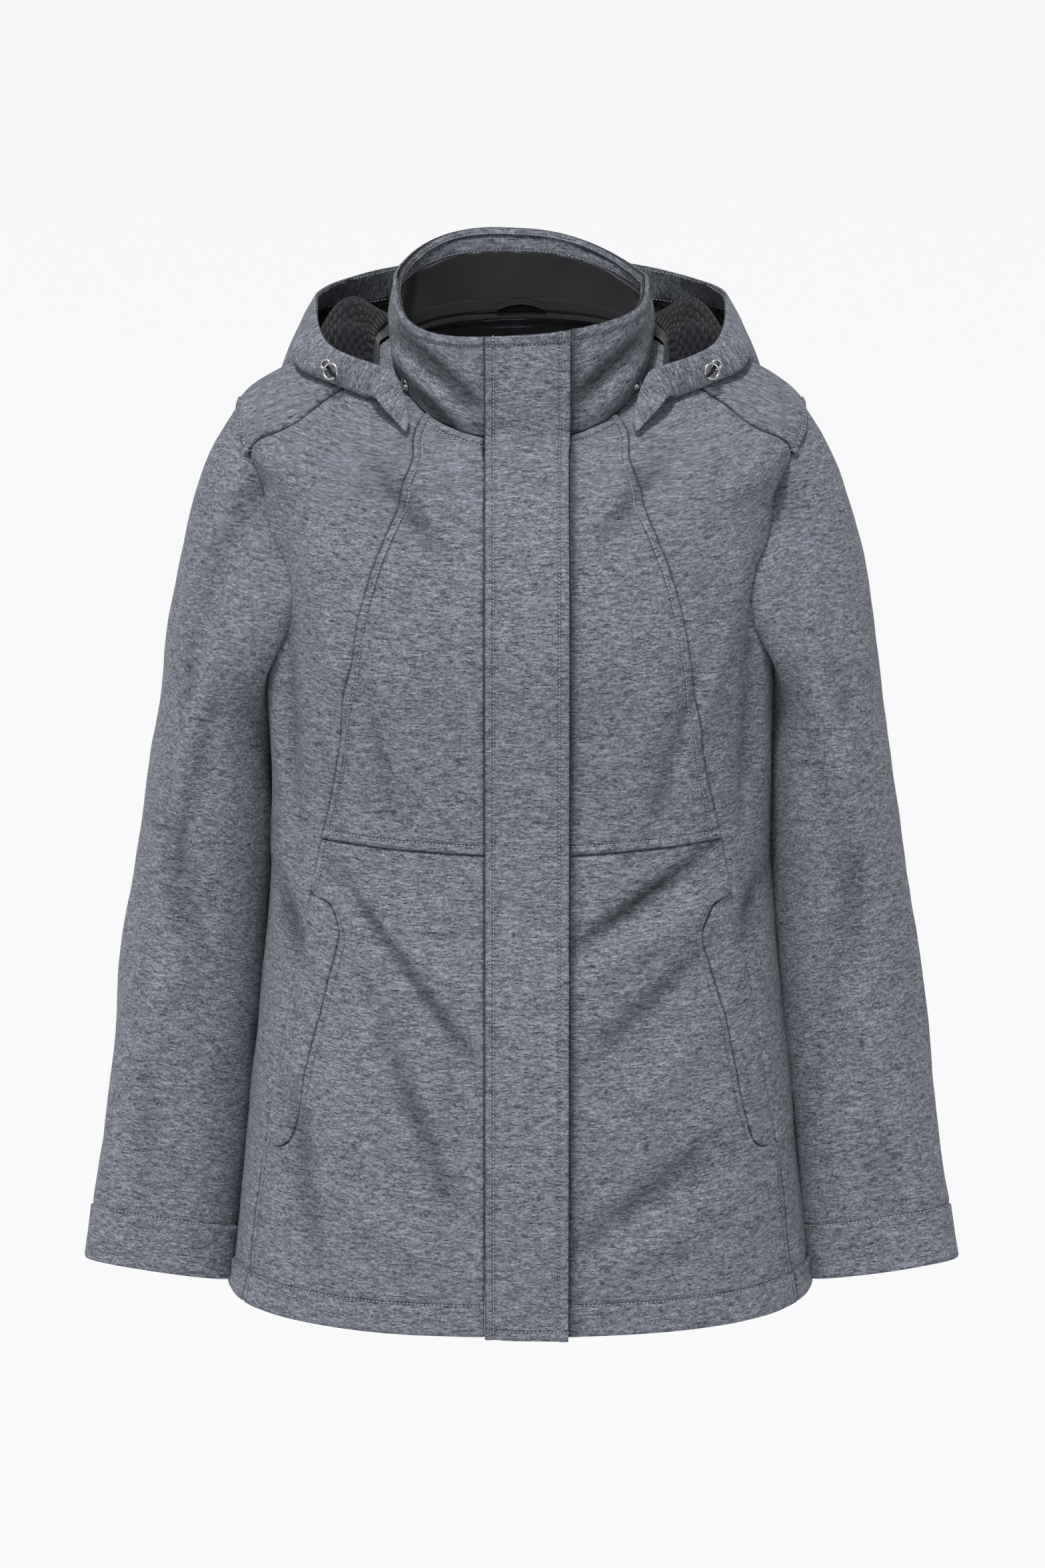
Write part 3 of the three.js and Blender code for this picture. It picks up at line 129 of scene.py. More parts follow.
class Sizes:
    """Rows of sizes in named columns, read smoothly between the rows of the first column."""

    def __init__(self, columns, *rows):
        names = columns.split()
        values = np.array(rows, float)
        self.key = values[:, 0]
        self.columns = dict(zip(names[1:], values[:, 1:].T))

    def read(self, column, place):
        key, value = self.key, self.columns[column]
        last = len(key) - 1
        after = np.minimum(np.arange(last + 1) + 1, last)
        before = np.maximum(np.arange(last + 1) - 1, 0)
        slope = (value[after] - value[before]) / (key[after] - key[before])
        place = np.asarray(place, float)
        i = np.clip(np.searchsorted(key, place, side="right") - 1, 0, last - 1)
        span = key[i + 1] - key[i]
        t = np.clip((place - key[i]) / span, 0, 1)
        smooth = between(t, value[i], slope[i], value[i + 1], slope[i + 1], span)
        below = np.minimum(place - key[0], 0) * slope[0]
        beyond = np.maximum(place - key[last], 0) * slope[last]
        return smooth + below + beyond

    def at(self, place):
        """All the columns at that place."""
        return {column: self.read(column, place) for column in self.columns}


# Rings of the body from the hem, 0, to the neck seam, 1, and of the stand collar up to its edge, 2.
RING_COLUMNS = "at half front back mid sideZ frontZ backZ square"
BODY_RINGS = Sizes(
    RING_COLUMNS,
    (0.0, 219, 138, 124, 0, -694, -708, -707, 2.5),
    (0.2, 206, 147, 130, 0, -562, -567, -565, 2.45),
    (0.36, 194, 141, 114, 0, -452, -455, -452, 2.4),
    (0.51, 186, 131, 101, 1, -352, -350, -347, 2.35),
    (0.62, 186, 141, 106, 2, -279, -270, -265, 2.3),
    (0.7, 188, 149, 113, 2, -220, -207, -190, 2.3),
    (0.78, 188, 139, 118, 2, -150, -152, -122, 2.4),
    (0.84, 194, 122, 118, 3, -90, -117, -75, 2.5),
    (0.9, 211, 105, 111, 4, -28, -90, -32, 2.45),
    (0.95, 157, 92, 98, 4, 6, -68, 0, 2.25),
    (1.0, 94, 80, 80, 4, 13, -49, 29, 2.3),
)
COLLAR_RINGS = Sizes(
    RING_COLUMNS,
    (1.0, 94, 80, 80, 4, 13, -49, 29, 2.3),
    (1.25, 98, 83, 84, 4, 26, -29, 47, 2.35),
    (1.5, 99, 85, 88, 4, 40, -10, 64, 2.4),
    (2.0, 93, 86, 93, 3, 66, 28, 95, 2.5),
)
# How steeply the rings dip towards the front and the back, and how far they twist.
BODY_DIPS = Sizes(
    "at front back twist",
    (0, 1.3, 1.3, 0),
    (0.8, 1.3, 1.3, 0),
    (0.9, 1.15, 1.3, 0),
    (1, 0.93, 1.2, 0),
)
COLLAR_DIPS = Sizes("at front back twist", (1, 0.93, 1.2, 0), (1.5, 0.7, 1.5, 2), (2, 0.5, 1.8, 4.5))

# Seams: distance from the centre line by height for the princess seam, and outlines of the others.
PRINCESS = Sizes(
    "z x",
    (-700, 207), (-645, 200), (-573, 191), (-470, 174), (-384, 156), (-343, 148),
    (-276, 133), (-218, 125), (-160, 115), (-104, 94), (-34, 69.5),
)
POCKET_FOOT_Z = -573
POCKET_HEAD_Z = -384
WAIST_Z = -343
POCKET_FOOT_CURVE = [(191, -573), (182, -575.5), (173, -569)]
POCKET_EDGE = [(173, -569), (168, -553), (156, -493), (143, -445), (134.5, -413), (134.5, -401), (140, -392)]
POCKET_HEAD_CURVE = [(140, -392), (147.5, -387.5), (156, -384)]
WAIST = [(-30, -350), (34, -350), (108, -346), (148, -343)]
YOKE_FRONT = [(199, -66), (187, -55), (165, -36), (135, -19), (112, -10), (86, -3)]
YOKE_BACK = [(196, -82), (140, -90), (70, -94), (0, -95)]
ARMHOLE_FRONT = [(199, -66), (188, -99), (176, -138), (171, -165), (176, -195)]
ARMHOLE_BACK = [(196, -82), (186, -118), (177, -152), (174, -178), (178, -203)]

# Soft creases of the body along lines in the front or back view: ridges stand out, troughs are negative.
CREASE_DEPTH = 1.4
CREASES = {
    "front": [
        # from x, z, to x, z, width, height
        (-141, -360, -36, -500, 6.5, -5.0),
        (-128, -384, -60, -545, 11, 4.2),
        (-112, -440, -52, -610, 9, -3.4),
        (-98, -410, -38, -560, 10, 3.0),
        (-150, -600, -40, -662, 13, 3.4),
        (-172, -520, -150, -660, 9, -2.6),
        (38, -418, 138, -352, 6.5, -4.8),
        (42, -446, 146, -384, 10, 4.0),
        (48, -500, 140, -420, 9, -3.0),
        (60, -560, 150, -470, 12, 2.8),
        (44, -640, 150, -560, 10, -3.0),
        (50, -668, 170, -600, 12, 2.6),
        (-160, -110, -108, -290, 11, 5.0),
        (-140, -150, -92, -322, 7.5, -4.0),
        (-112, -190, -60, -330, 13, 2.4),
        (168, -120, 116, -290, 11, 4.4),
        (150, -160, 98, -326, 7.5, -3.8),
        (112, -200, 62, -330, 13, 2.2),
        (-112, -60, -56, -130, 9, -3.0),
        (108, -58, 56, -122, 9, -2.6),
        (-184, -96, -176, -390, 8, 3.8),
        (-176, -130, -166, -340, 6, -3.0),
        (182, -110, 174, -380, 8, 3.4),
        (174, -140, 164, -330, 6, -2.8),
        (-180, -372, -166, -432, 7, -4.0),
        (178, -366, 166, -424, 7, -3.6),
    ],
    "back": [
        (-150, -240, -70, -345, 10, -4.6),
        (150, -240, 75, -340, 9, -4.2),
        (-140, -260, -50, -372, 12, 3.4),
        (-120, -390, 110, -372, 11, -4.0),
        (-130, -330, 40, -350, 9, 3.2),
        (-60, -430, -85, -640, 13, 4.0),
        (70, -440, 88, -630, 14, 3.6),
        (-150, -470, -120, -650, 11, -3.2),
        (0, -130, 12, -300, 14, -2.6),
    ],
}

# Creases of the collar's front, in the same columns.
COLLAR_CREASES = [
    (-92, 26, -34, -22, 5.5, -2.8),
    (-92, 8, -38, -38, 5.5, 2.2),
    (-80, -8, -48, -44, 5, -1.6),
    (90, 24, 40, -20, 5.5, -2.8),
    (92, 4, 46, -36, 5.5, 2.2),
    (-24, 8, 30, 4, 5, -1.4),
    (-22, -12, 28, -18, 6, 1.2),
]

# The sleeve: centre line, half widths and tilt of its sections, and how far its cloth leans over to
# the body. Its creases: share of the arm, angle from the outer side to the front, length, slant, width
# and height.
SLEEVE_SECTIONS = Sizes(
    "at x y z halfX halfY tilt lean",
    (0.0, 231.5, 12, -268, 42, 74, 3, 5.5),
    (0.25, 241, 10, -372, 47.5, 67, 4, 7.0),
    (0.5, 251, 5, -477, 50, 58, 5.5, 6.6),
    (0.75, 263, -3, -580, 51.5, 48, 7, 6.6),
    (1.0, 275, -13, -682, 54, 38, 8.4, 2.6),
)
SLEEVE_CREASES = [
    (-0.28, 62, 0.34, 26, 13, -4.6),
    (-0.16, 98, 0.38, -14, 12, 4.0),
    (0.04, 108, 0.34, -30, 11, -3.6),
    (0.22, 75, 0.35, 40, 15, -4.2),
    (0.34, 20, 0.34, -30, 17, 3.4),
    (0.46, 96, 0.3, -34, 13, 3.2),
    (0.62, 70, 0.34, 25, 16, -3.2),
    (-0.2, -70, 0.36, -20, 14, 3.8),
    (0.1, -80, 0.4, -25, 15, -4.4),
    (0.42, -60, 0.35, 35, 15, 3.6),
    (0.7, -85, 0.28, -20, 16, -3.4),
]

# The hood lying open round the collar, by its heading from the centre front in degrees.
HOOD_SECTIONS = Sizes(
    "heading foot roll puff rimX rimY rimZ bulge",
    (60, 0.978, 4, 0, 104, -55, 3, 1),
    (70, 0.964, 4.5, 0, 124, -45, 9, 2),
    (80, 0.95, 5, 4, 142, -28, 17, 3),
    (90, 0.947, 5.5, 15, 151, -2, 29, 5),
    (101, 0.947, 6, 28, 154, 28, 41, 5),
    (115, 0.938, 7, 30, 152, 70, 51, 5),
    (134, 0.89, 9, 22, 122, 108, 60, 11),
    (156, 0.805, 11, 14, 63, 135, 69, 20),
    (180, 0.755, 11, 12, 0, 144, 72, 25),
)
# Where the hood starts beside the collar, and where its halves almost meet.
HOOD_FRONT = 60
HOOD_MIDDLE = 179.95
HOOD_CLEAR = 2.0
HOOD_PEAK = 1.5
HOOD_BAND = 28.0

# The strap end of the hood.
TAB_THICK = 3.0
TAB_ROOT = 0.45
HOOD_TAB = [
    # share of the way, lower edge x y z, upper edge x y z
    (0.35, 107, -64, -20, 94, -58, -1),
    (0.6, 100, -68, -28, 88.5, -61, -11),
    (0.8, 92, -72, -36, 85, -66, -22),
    (0.93, 87, -76, -41, 82.5, -70, -33),
    (1.0, 84.5, -77, -42, 82.5, -74, -38),
]


# Camera, floor and light.
def aim(thing, target):
    towards = Vector(target) - thing.location
    thing.rotation_euler = towards.to_track_quat("-Z", "Y").to_euler()


def make_camera():
    data = bpy.data.cameras.new("camera")
    camera = bpy.data.objects.new("camera", data)
    camera.location = CAMERA_PLACE
    aim(camera, CAMERA_TARGET)
    data.sensor_fit = "VERTICAL"
    data.sensor_height = CAMERA_SENSOR
    data.lens = CAMERA_SENSOR / (2 * VIEW_HALF_HEIGHT / VIEW_DISTANCE)
    bpy.context.scene.collection.objects.link(camera)
    bpy.context.scene.camera = camera


def make_sun(name, towards, strength, softness):
    """Soft even studio light from one direction, the same all over the floor."""
    data = bpy.data.lights.new(name, "SUN")
    data.energy = strength
    data.angle = math.radians(softness)
    light = bpy.data.objects.new(name, data)
    light.rotation_euler = Vector(towards).to_track_quat("Z", "Y").to_euler()
    bpy.context.scene.collection.objects.link(light)


def make_world(colour, strength):
    world = bpy.data.worlds.new("pale_studio")
    world.use_nodes = True
    background = world.node_tree.nodes["Background"]
    background.inputs["Color"].default_value = linear(colour)
    background.inputs["Strength"].default_value = strength
    bpy.context.scene.world = world


def make_floor():
    far, z = FLOOR_REACH, FLOOR_Z / 1000
    mesh = bpy.data.meshes.new("floor")
    mesh.from_pydata([(-far, -far, z), (far, -far, z), (far, far, z), (-far, far, z)], [], [(0, 1, 2, 3)])
    mesh.materials.append(make_floor_paper("pale_seamless_paper"))
    floor = bpy.data.objects.new("floor", mesh)
    bpy.context.scene.collection.objects.link(floor)


def linear(colour):
    """An sRGB colour written as hex, turned to linear RGBA."""
    parts = [int(colour[i : i + 2], 16) / 255 for i in (1, 3, 5)]
    return [p / 12.92 if p <= 0.04045 else ((p + 0.055) / 1.055) ** 2.4 for p in parts] + [1.0]


# Materials. Noise scales are counts in each metre: 2500 is a fibre every 0.4 mm, 900 a grain of 1.1 mm,
# 160 a wave of 6 mm, 60 one of 17 mm and 30 a cloud of 33 mm.
MATH, NOISE, MIX = "ShaderNodeMath", "ShaderNodeTexNoise", "ShaderNodeMix"


def node(tree, kind, inputs=(), **settings):
    """Adds a node with its settings. Its inputs, by name or in their order, are plain values or what is
    linked to them: a socket, or a node for its first output."""
    made = tree.nodes.new(kind)
    for name, value in settings.items():
        setattr(made, name, value)
    for name, value in inputs.items() if isinstance(inputs, dict) else enumerate(inputs):
        source = value.outputs[0] if isinstance(value, bpy.types.Node) else value
        if isinstance(source, bpy.types.NodeSocket):
            tree.links.new(source, made.inputs[name])
        else:
            made.inputs[name].default_value = source
    return made


def new_material(name):
    material = bpy.data.materials.new(name)
    material.use_nodes = True
    material.node_tree.nodes.clear()
    return material, material.node_tree


def finish_material(material, inputs):
    """Ends a material in a Principled shader."""
    shader = node(material.node_tree, "ShaderNodeBsdfPrincipled", inputs)
    node(material.node_tree, "ShaderNodeOutputMaterial", {"Surface": shader})
    return material


def make_knit_shell(name, light, dark):
    """Bonded softshell face: a bird's-eye polyester knit, matt and dry. Light loops leave small dark
    gaps in staggered rows, and the marl yarn of each row changes shade every few millimetres."""
    material, tree = new_material(name)
    uv = node(tree, "ShaderNodeUVMap", uv_map="Cloth")
    split = node(tree, "ShaderNodeSeparateXYZ", {"Vector": uv})
    wobble = node(tree, NOISE, {"Vector": uv, "Scale": 160.0, "Detail": 1.0})
    wander = ROW_WANDER / 1000
    shift = node(tree, MATH, (wobble, wander, -wander / 2), operation="MULTIPLY_ADD")
    across = node(tree, MATH, (split.outputs["X"], shift), operation="ADD")
    up = node(tree, MATH, (split.outputs["Y"], shift), operation="ADD")

    # A gap lies wherever the waves of the wales and the courses both peak or both dip.
    wales = node(tree, MATH, (across, 2000 * math.pi / WALE), operation="MULTIPLY")
    wale_wave = node(tree, MATH, (wales,), operation="COSINE")
    courses = node(tree, MATH, (up, 1000 * math.pi / COURSE), operation="MULTIPLY")
    course_wave = node(tree, MATH, (courses,), operation="COSINE")
    both = node(tree, MATH, (wale_wave, course_wave), operation="MULTIPLY")
    gap = node(tree, MATH, (both, 0.0), operation="MAXIMUM")

    # The yarn's shade: two marls along each row, and a slow cloud over several rows.
    rows = node(tree, MATH, (up, 1000 / COURSE), operation="MULTIPLY")
    row = node(tree, MATH, (rows,), operation="ROUND")
    contrast, darkest = 4.3, -1.65
    shades = []
    for length, row_step in MARLS:
        along = node(tree, MATH, (across, 1000 / length), operation="MULTIPLY")
        row_place = node(tree, MATH, (row, row_step), operation="MULTIPLY")
        place = node(tree, "ShaderNodeCombineXYZ", {"X": along, "Y": row_place})
        marl = node(tree, NOISE, {"Vector": place, "Scale": 1.0, "Detail": 1.0})
        shades.append(node(tree, MATH, (marl, contrast, darkest), operation="MULTIPLY_ADD"))
    cloud_place = node(tree, "ShaderNodeMapping", {"Vector": uv, "Scale": (30.0, 160.0, 1.0)})
    cloud = node(tree, NOISE, {"Vector": cloud_place, "Scale": 1.0, "Detail": 2.0})
    half_second = node(tree, MATH, (shades[1], 0.5), operation="MULTIPLY")
    marls = node(tree, MATH, (shades[0], 0.5, half_second), operation="MULTIPLY_ADD")
    below_cloud = node(tree, MATH, (marls, -0.25), operation="ADD")
    yarn = node(tree, MATH, (cloud, 0.5, below_cloud), operation="MULTIPLY_ADD")

    # Dark yarn shows its gaps more than light yarn does.
    gap_depth = node(tree, MATH, (yarn, -0.4, 1.1), operation="MULTIPLY_ADD")
    lightness = node(tree, MATH, (yarn, 0.56, 0.35), operation="MULTIPLY_ADD")
    darkening = node(tree, MATH, (gap, gap_depth), operation="MULTIPLY")
    amount = node(tree, MATH, (lightness, darkening), operation="SUBTRACT")
    colours = {"A": linear(dark), "B": linear(light)}
    yarns = node(tree, MIX, {"Factor": amount, **colours}, data_type="RGBA")
    # Painted shade: a point attribute of the mesh mixes the yarn towards the dark yarn colour along seams,
    # in stitch grooves, in crease troughs, beside the storm flap and at the collar's foot.
    painted_shade = node(tree, "ShaderNodeAttribute", attribute_name="painted_shade").outputs["Fac"]
    in_painted_shade = {"Factor": painted_shade, "A": yarns.outputs["Result"], "B": linear(dark)}
    shaded = node(tree, MIX, in_painted_shade, data_type="RGBA")
    height = node(tree, MATH, (gap, -1.0), operation="MULTIPLY")
    bump = node(tree, "ShaderNodeBump", {"Height": height, "Strength": 0.5, "Distance": 0.0003})
    look = {"Roughness": 0.9, "Sheen Weight": 0.08, "Sheen Roughness": 0.5, "Specular IOR Level": 0.2}
    return finish_material(material, {"Base Color": shaded.outputs["Result"], "Normal": bump, **look})


def make_fine_surface(name, colour, spread, grain=900.0, bump_size=0.00015, roughness=0.92, sheen=0.3):
    """A fine, faintly cloudy surface: the short fibres of brushed fleece and smooth tricot, the twist of
    polyester thread, or the slight grain of moulded acetal."""
    material, tree = new_material(name)
    place = node(tree, "ShaderNodeTexCoord").outputs["Object"]
    fine = node(tree, NOISE, {"Vector": place, "Scale": grain, "Detail": 2.0})
    cloud = node(tree, NOISE, {"Vector": place, "Scale": 30.0, "Detail": 2.0})
    cloudy = node(tree, MATH, (cloud, 0.4), operation="MULTIPLY")
    amount = node(tree, MATH, (fine, 0.6, cloudy), operation="MULTIPLY_ADD")
    colours = {"A": linear(colour), "B": linear(spread)}
    shade = node(tree, MIX, {"Factor": amount, **colours}, data_type="RGBA")
    bump = node(tree, "ShaderNodeBump", {"Height": fine, "Strength": 0.4, "Distance": bump_size})
    look = {"Roughness": roughness, "Sheen Weight": sheen, "Specular IOR Level": 0.3}
    return finish_material(material, {"Base Color": shade.outputs["Result"], "Normal": bump, **look})


def make_quilted_lining(name):
    """Embossed charcoal lining: hexagon cells pressed into soft brushed tricot. The real cells are 8 to
    10 mm across, and are drawn 12 mm across so that they show."""
    material, tree = new_material(name)
    uv = node(tree, "ShaderNodeUVMap", uv_map="Cloth")
    wander = node(tree, NOISE, {"Vector": uv, "Scale": 60.0, "Detail": 1.0})
    waves = node(tree, MATH, (wander, 1.6, -0.8), operation="MULTIPLY_ADD")
    row = QUILT_ROW / 1000
    for angle in (0, math.pi / 3, 2 * math.pi / 3):
        across_rows = (math.cos(angle) * 2 * math.pi / row, math.sin(angle) * 2 * math.pi / row, 0)
        along = node(tree, "ShaderNodeVectorMath", (uv, across_rows), operation="DOT_PRODUCT")
        wave = node(tree, MATH, (along.outputs["Value"],), operation="COSINE")
        waves = node(tree, MATH, (wave, waves), operation="ADD")
    swell = {"Value": waves, "From Min": -1.5, "From Max": 1.2}
    puff = node(tree, "ShaderNodeMapRange", swell, interpolation_type="SMOOTHERSTEP")
    fibre = node(tree, NOISE, {"Vector": uv, "Scale": 1400.0, "Detail": 2.0})
    fibres = node(tree, MATH, (fibre, 0.3), operation="MULTIPLY")
    # Painted shade: the grooves between the puffed cells are coloured darker and the puffs lighter, on top
    # of their bump. The fibres are the lining's own tone.
    amount = node(tree, MATH, (puff, 0.7, fibres), operation="MULTIPLY_ADD")
    colours = {"A": linear("#0c0d0f"), "B": linear("#202227")}
    shade = node(tree, MIX, {"Factor": amount, **colours}, data_type="RGBA")
    height = node(tree, MATH, (fibre, 0.08, puff), operation="MULTIPLY_ADD")
    bump = node(tree, "ShaderNodeBump", {"Height": height, "Strength": 1.0, "Distance": 0.0011})
    look = {"Roughness": 0.9, "Sheen Weight": 0.12, "Specular IOR Level": 0.2}
    return finish_material(material, {"Base Color": shade.outputs["Result"], "Normal": bump, **look})


def make_ribbed_tape(name, colour, spread, rib=1.1):
    """Woven grosgrain tape or braided elastic: ribs about a millimetre apart across its length."""
    material, tree = new_material(name)
    uv = node(tree, "ShaderNodeUVMap", uv_map="Cloth")
    split = node(tree, "ShaderNodeSeparateXYZ", {"Vector": uv})
    turns = node(tree, MATH, (split.outputs["X"], 2000 * math.pi / rib), operation="MULTIPLY")
    wave = node(tree, MATH, (turns,), operation="COSINE")
    ribs = node(tree, MATH, (wave, 0.5, 0.5), operation="MULTIPLY_ADD")
    # Painted shade: the hollows between the ribs are coloured darker and the ribs lighter, on top of their
    # bump.
    colours = {"A": linear(colour), "B": linear(spread)}
    shade = node(tree, MIX, {"Factor": ribs, **colours}, data_type="RGBA")
    bump = node(tree, "ShaderNodeBump", {"Height": ribs, "Strength": 0.7, "Distance": 0.0003})
    look = {"Roughness": 0.8, "Specular IOR Level": 0.3}
    return finish_material(material, {"Base Color": shade.outputs["Result"], "Normal": bump, **look})


def make_nickel(name):
    """Nickel-plated brass, tumbled: bright, with fine wear in its gloss."""
    material, tree = new_material(name)
    place = node(tree, "ShaderNodeTexCoord").outputs["Object"]
    wear = node(tree, NOISE, {"Vector": place, "Scale": 900.0, "Detail": 3.0})
    rough = node(tree, "ShaderNodeMapRange", {"Value": wear, "To Min": 0.14, "To Max": 0.3})
    colours = {"A": linear("#c9c9c6"), "B": linear("#dededb")}
    tint = node(tree, MIX, {"Factor": wear, **colours}, data_type="RGBA")
    look = {"Base Color": tint.outputs["Result"], "Roughness": rough, "Metallic": 1.0}
    return finish_material(material, look)


def make_floor_paper(name):
    """Pale seamless paper, matt, with faint fibre."""
    material, tree = new_material(name)
    place = node(tree, "ShaderNodeTexCoord").outputs["Object"]
    fibre = node(tree, NOISE, {"Vector": place, "Scale": 60.0, "Detail": 4.0})
    colours = {"A": linear("#e9e9ea"), "B": linear("#eeeeef")}
    shade = node(tree, MIX, {"Factor": fibre, **colours}, data_type="RGBA")
    return finish_material(material, {"Base Color": shade.outputs["Result"], "Roughness": 0.9})


# The form of the body and the collar. Side 1 is the wearer's left and side -1 the right.
MIRRORS = {1: np.array([1.0, 1.0, 1.0]), -1: np.array([-1.0, 1.0, 1.0])}


def signed_power(base, power):
    return np.sign(base) * np.abs(base) ** power


def ring_point(rings, turn, at):
    """Points of a ring; "turn" runs from the centre front round by the wearer's left side."""
    turn, at = np.broadcast_arrays(np.asarray(turn, float), np.asarray(at, float))
    size = rings.at(at)
    dips = BODY_DIPS if rings is BODY_RINGS else COLLAR_DIPS
    power = 2 / size["square"]
    ahead = np.cos(turn)
    depth = signed_power(ahead, power)
    reach = np.where(depth > 0, size["front"], size["back"])
    end = np.where(ahead > 0, size["frontZ"], size["backZ"])
    dip = np.where(ahead > 0, dips.read("front", at), dips.read("back", at))
    share = np.abs(ahead) ** dip
    x = size["half"] * signed_power(np.sin(turn), power)
    y = size["mid"] * (1 - np.abs(depth)) - reach * depth
    z = size["sideZ"] + (end - size["sideZ"]) * share + dips.read("twist", at) * np.sin(2 * turn)
    return np.stack([x, y, z], -1)


def unit(vectors):
    return vectors / np.maximum(np.linalg.norm(vectors, axis=-1, keepdims=True), 1e-9)


# The change of place that slopes are measured over.
SMALL_STEP = 1e-3


def ring_slopes(rings, turn, at):
    """How far a place moves for a small change of "turn", and for one of "at"."""
    across = ring_point(rings, turn + SMALL_STEP, at) - ring_point(rings, turn - SMALL_STEP, at)
    up = ring_point(rings, turn, at + SMALL_STEP) - ring_point(rings, turn, at - SMALL_STEP)
    return across / (2 * SMALL_STEP), up / (2 * SMALL_STEP)


def ring_normal(rings, turn, at):
    return unit(np.cross(*ring_slopes(rings, turn, at)))


def height_of_creases(points, creases, depth, fade):
    """The height of creases drawn in the front or back view; "fade" eases a crease towards its ends."""
    height = np.zeros(points.shape[:-1])
    for x0, z0, x1, z1, wide, high in creases:
        along = np.array([x1 - x0, z1 - z0])
        away = points[..., [0, 2]] - [x0, z0]
        t = np.clip((away @ along) / (along @ along), 0, 1)
        rest = away - t[..., None] * along
        height += depth * high * fade(t) * np.exp(-(rest**2).sum(-1) / wide**2)
    return height


def crease_height(points, turn):
    """The body's creases; each keeps a third of its height at its ends."""
    heights = [
        height_of_creases(points, CREASES[face], CREASE_DEPTH, lambda t: 0.35 + 0.65 * np.sin(np.pi * t))
        for face in ("front", "back")
    ]
    return np.where(np.cos(turn) > 0, *heights)


def collar_crease_height(points, turn):
    """The shallow folds that curve down the collar's front."""
    height = height_of_creases(
        points, COLLAR_CREASES, 1.4 * CREASE_DEPTH, lambda t: np.sin(np.pi * (0.1 + 0.8 * t))
    )
    return np.where(np.cos(turn) > 0, height, 0)


def skin(rings, turn, at, out=0.0, side=1):
    """The outer face of the cloth, moved out by "out"; side -1 gives the mirrored place on the right."""
    base = ring_point(rings, turn, at) * MIRRORS[side]
    normal = ring_normal(rings, turn, at) * MIRRORS[side]
    crease = crease_height(base, turn) if rings is BODY_RINGS else 0.0
    return base + normal * np.asarray(out + crease)[..., None]


def place_at(x, z, face="front"):
    """The places on the body that show at (x, z) in the front or back view, found in small steps from a
    rough first guess."""
    x, z = np.atleast_1d(np.asarray(x, float)), np.atleast_1d(np.asarray(z, float))
    first = np.arcsin(np.minimum(0.97, np.abs(x) / 200))
    turn = np.where(x < 0, -1, 1) * (first if face == "front" else np.pi - first)
    at = np.clip(1 + (z + 40) / BODY_RISE, 0.02, 0.98)
    most_round, most_up = 0.15, 0.05
    for _ in range(60):
        p = ring_point(BODY_RINGS, turn, at)
        d_turn, d_at = ring_slopes(BODY_RINGS, turn, at)
        miss_x, miss_z = x - p[:, 0], z - p[:, 2]
        size = d_turn[:, 0] * d_at[:, 2] - d_at[:, 0] * d_turn[:, 2]
        step_round = (miss_x * d_at[:, 2] - miss_z * d_at[:, 0]) / size
        step_up = (miss_z * d_turn[:, 0] - miss_x * d_turn[:, 2]) / size
        turn = turn + np.clip(step_round, -most_round, most_round)
        at = at + np.clip(step_up, -most_up, most_up)
    return np.stack([turn, at], -1)


def turn_at_x(rings, x, at, face="front"):
    """How far round a ring a place lies that shows at x."""
    turn = np.arcsin(signed_power(x / rings.read("half", at), rings.read("square", at) / 2))
    return turn if face == "front" else np.pi - turn


def at_x(x, at, rings=BODY_RINGS):
    at = np.asarray(at, float)
    return np.stack([turn_at_x(rings, x, at), at], -1)


def lengths_along(points, axis=0):
    step = np.linalg.norm(np.diff(points, axis=axis), axis=-1)
    zero = np.zeros_like(np.take(step, [0], axis=axis))
    return np.concatenate([zero, np.cumsum(step, axis=axis)], axis=axis)


def smooth_line(points, count):
    """Evenly spaced points on a smooth line through others."""
    points = np.asarray(points, float)
    key = lengths_along(points) ** 0.75
    columns = [f"column_{i}" for i in range(points.shape[1])]
    table = Sizes(" ".join(["key", *columns]), *np.column_stack([key, points]))
    line = np.stack(list(table.at(np.linspace(0, key[-1], 400)).values()), -1)
    return respaced(line, lengths_along(line), count)


def respaced(line, reach, count):
    """Evenly spaced points on a line, by how far along it each of its points lies."""
    wanted = np.linspace(0, reach[-1], count + 1)
    return np.stack([np.interp(wanted, reach, line[:, i]) for i in range(line.shape[1])], -1)


def seam_along(outline, count, face="front"):
    line = smooth_line(outline, count)
    return place_at(line[:, 0], line[:, 1], face)


def resampled(places, count):
    """Evenly spaced places along a run, by their distance apart on the body."""
    line = smooth_line(places, 400)
    reach = lengths_along(ring_point(BODY_RINGS, line[:, 0], line[:, 1]))
    run = respaced(line, reach, count)
    run[0], run[-1] = places[0], places[-1]
    return run


def joined(*runs):
    """Runs end to end, without the points that two of them share."""
    return np.concatenate([run if i == 0 else run[1:] for i, run in enumerate(runs)])


def along_ring(start, end, count):
    return np.linspace(start, end, count + 1)


def slide(grid, move):
    """The places that small moves along the body lead to."""
    d_turn, d_at = ring_slopes(BODY_RINGS, grid[..., 0], grid[..., 1])
    a, b, c = (d_turn**2).sum(-1), (d_turn * d_at).sum(-1), (d_at**2).sum(-1)
    d, e = (d_turn * move).sum(-1), (d_at * move).sum(-1)
    size = np.maximum(a * c - b * b, 1e-9)
    return grid + np.stack([(d * c - e * b) / size, (a * e - b * d) / size], -1)


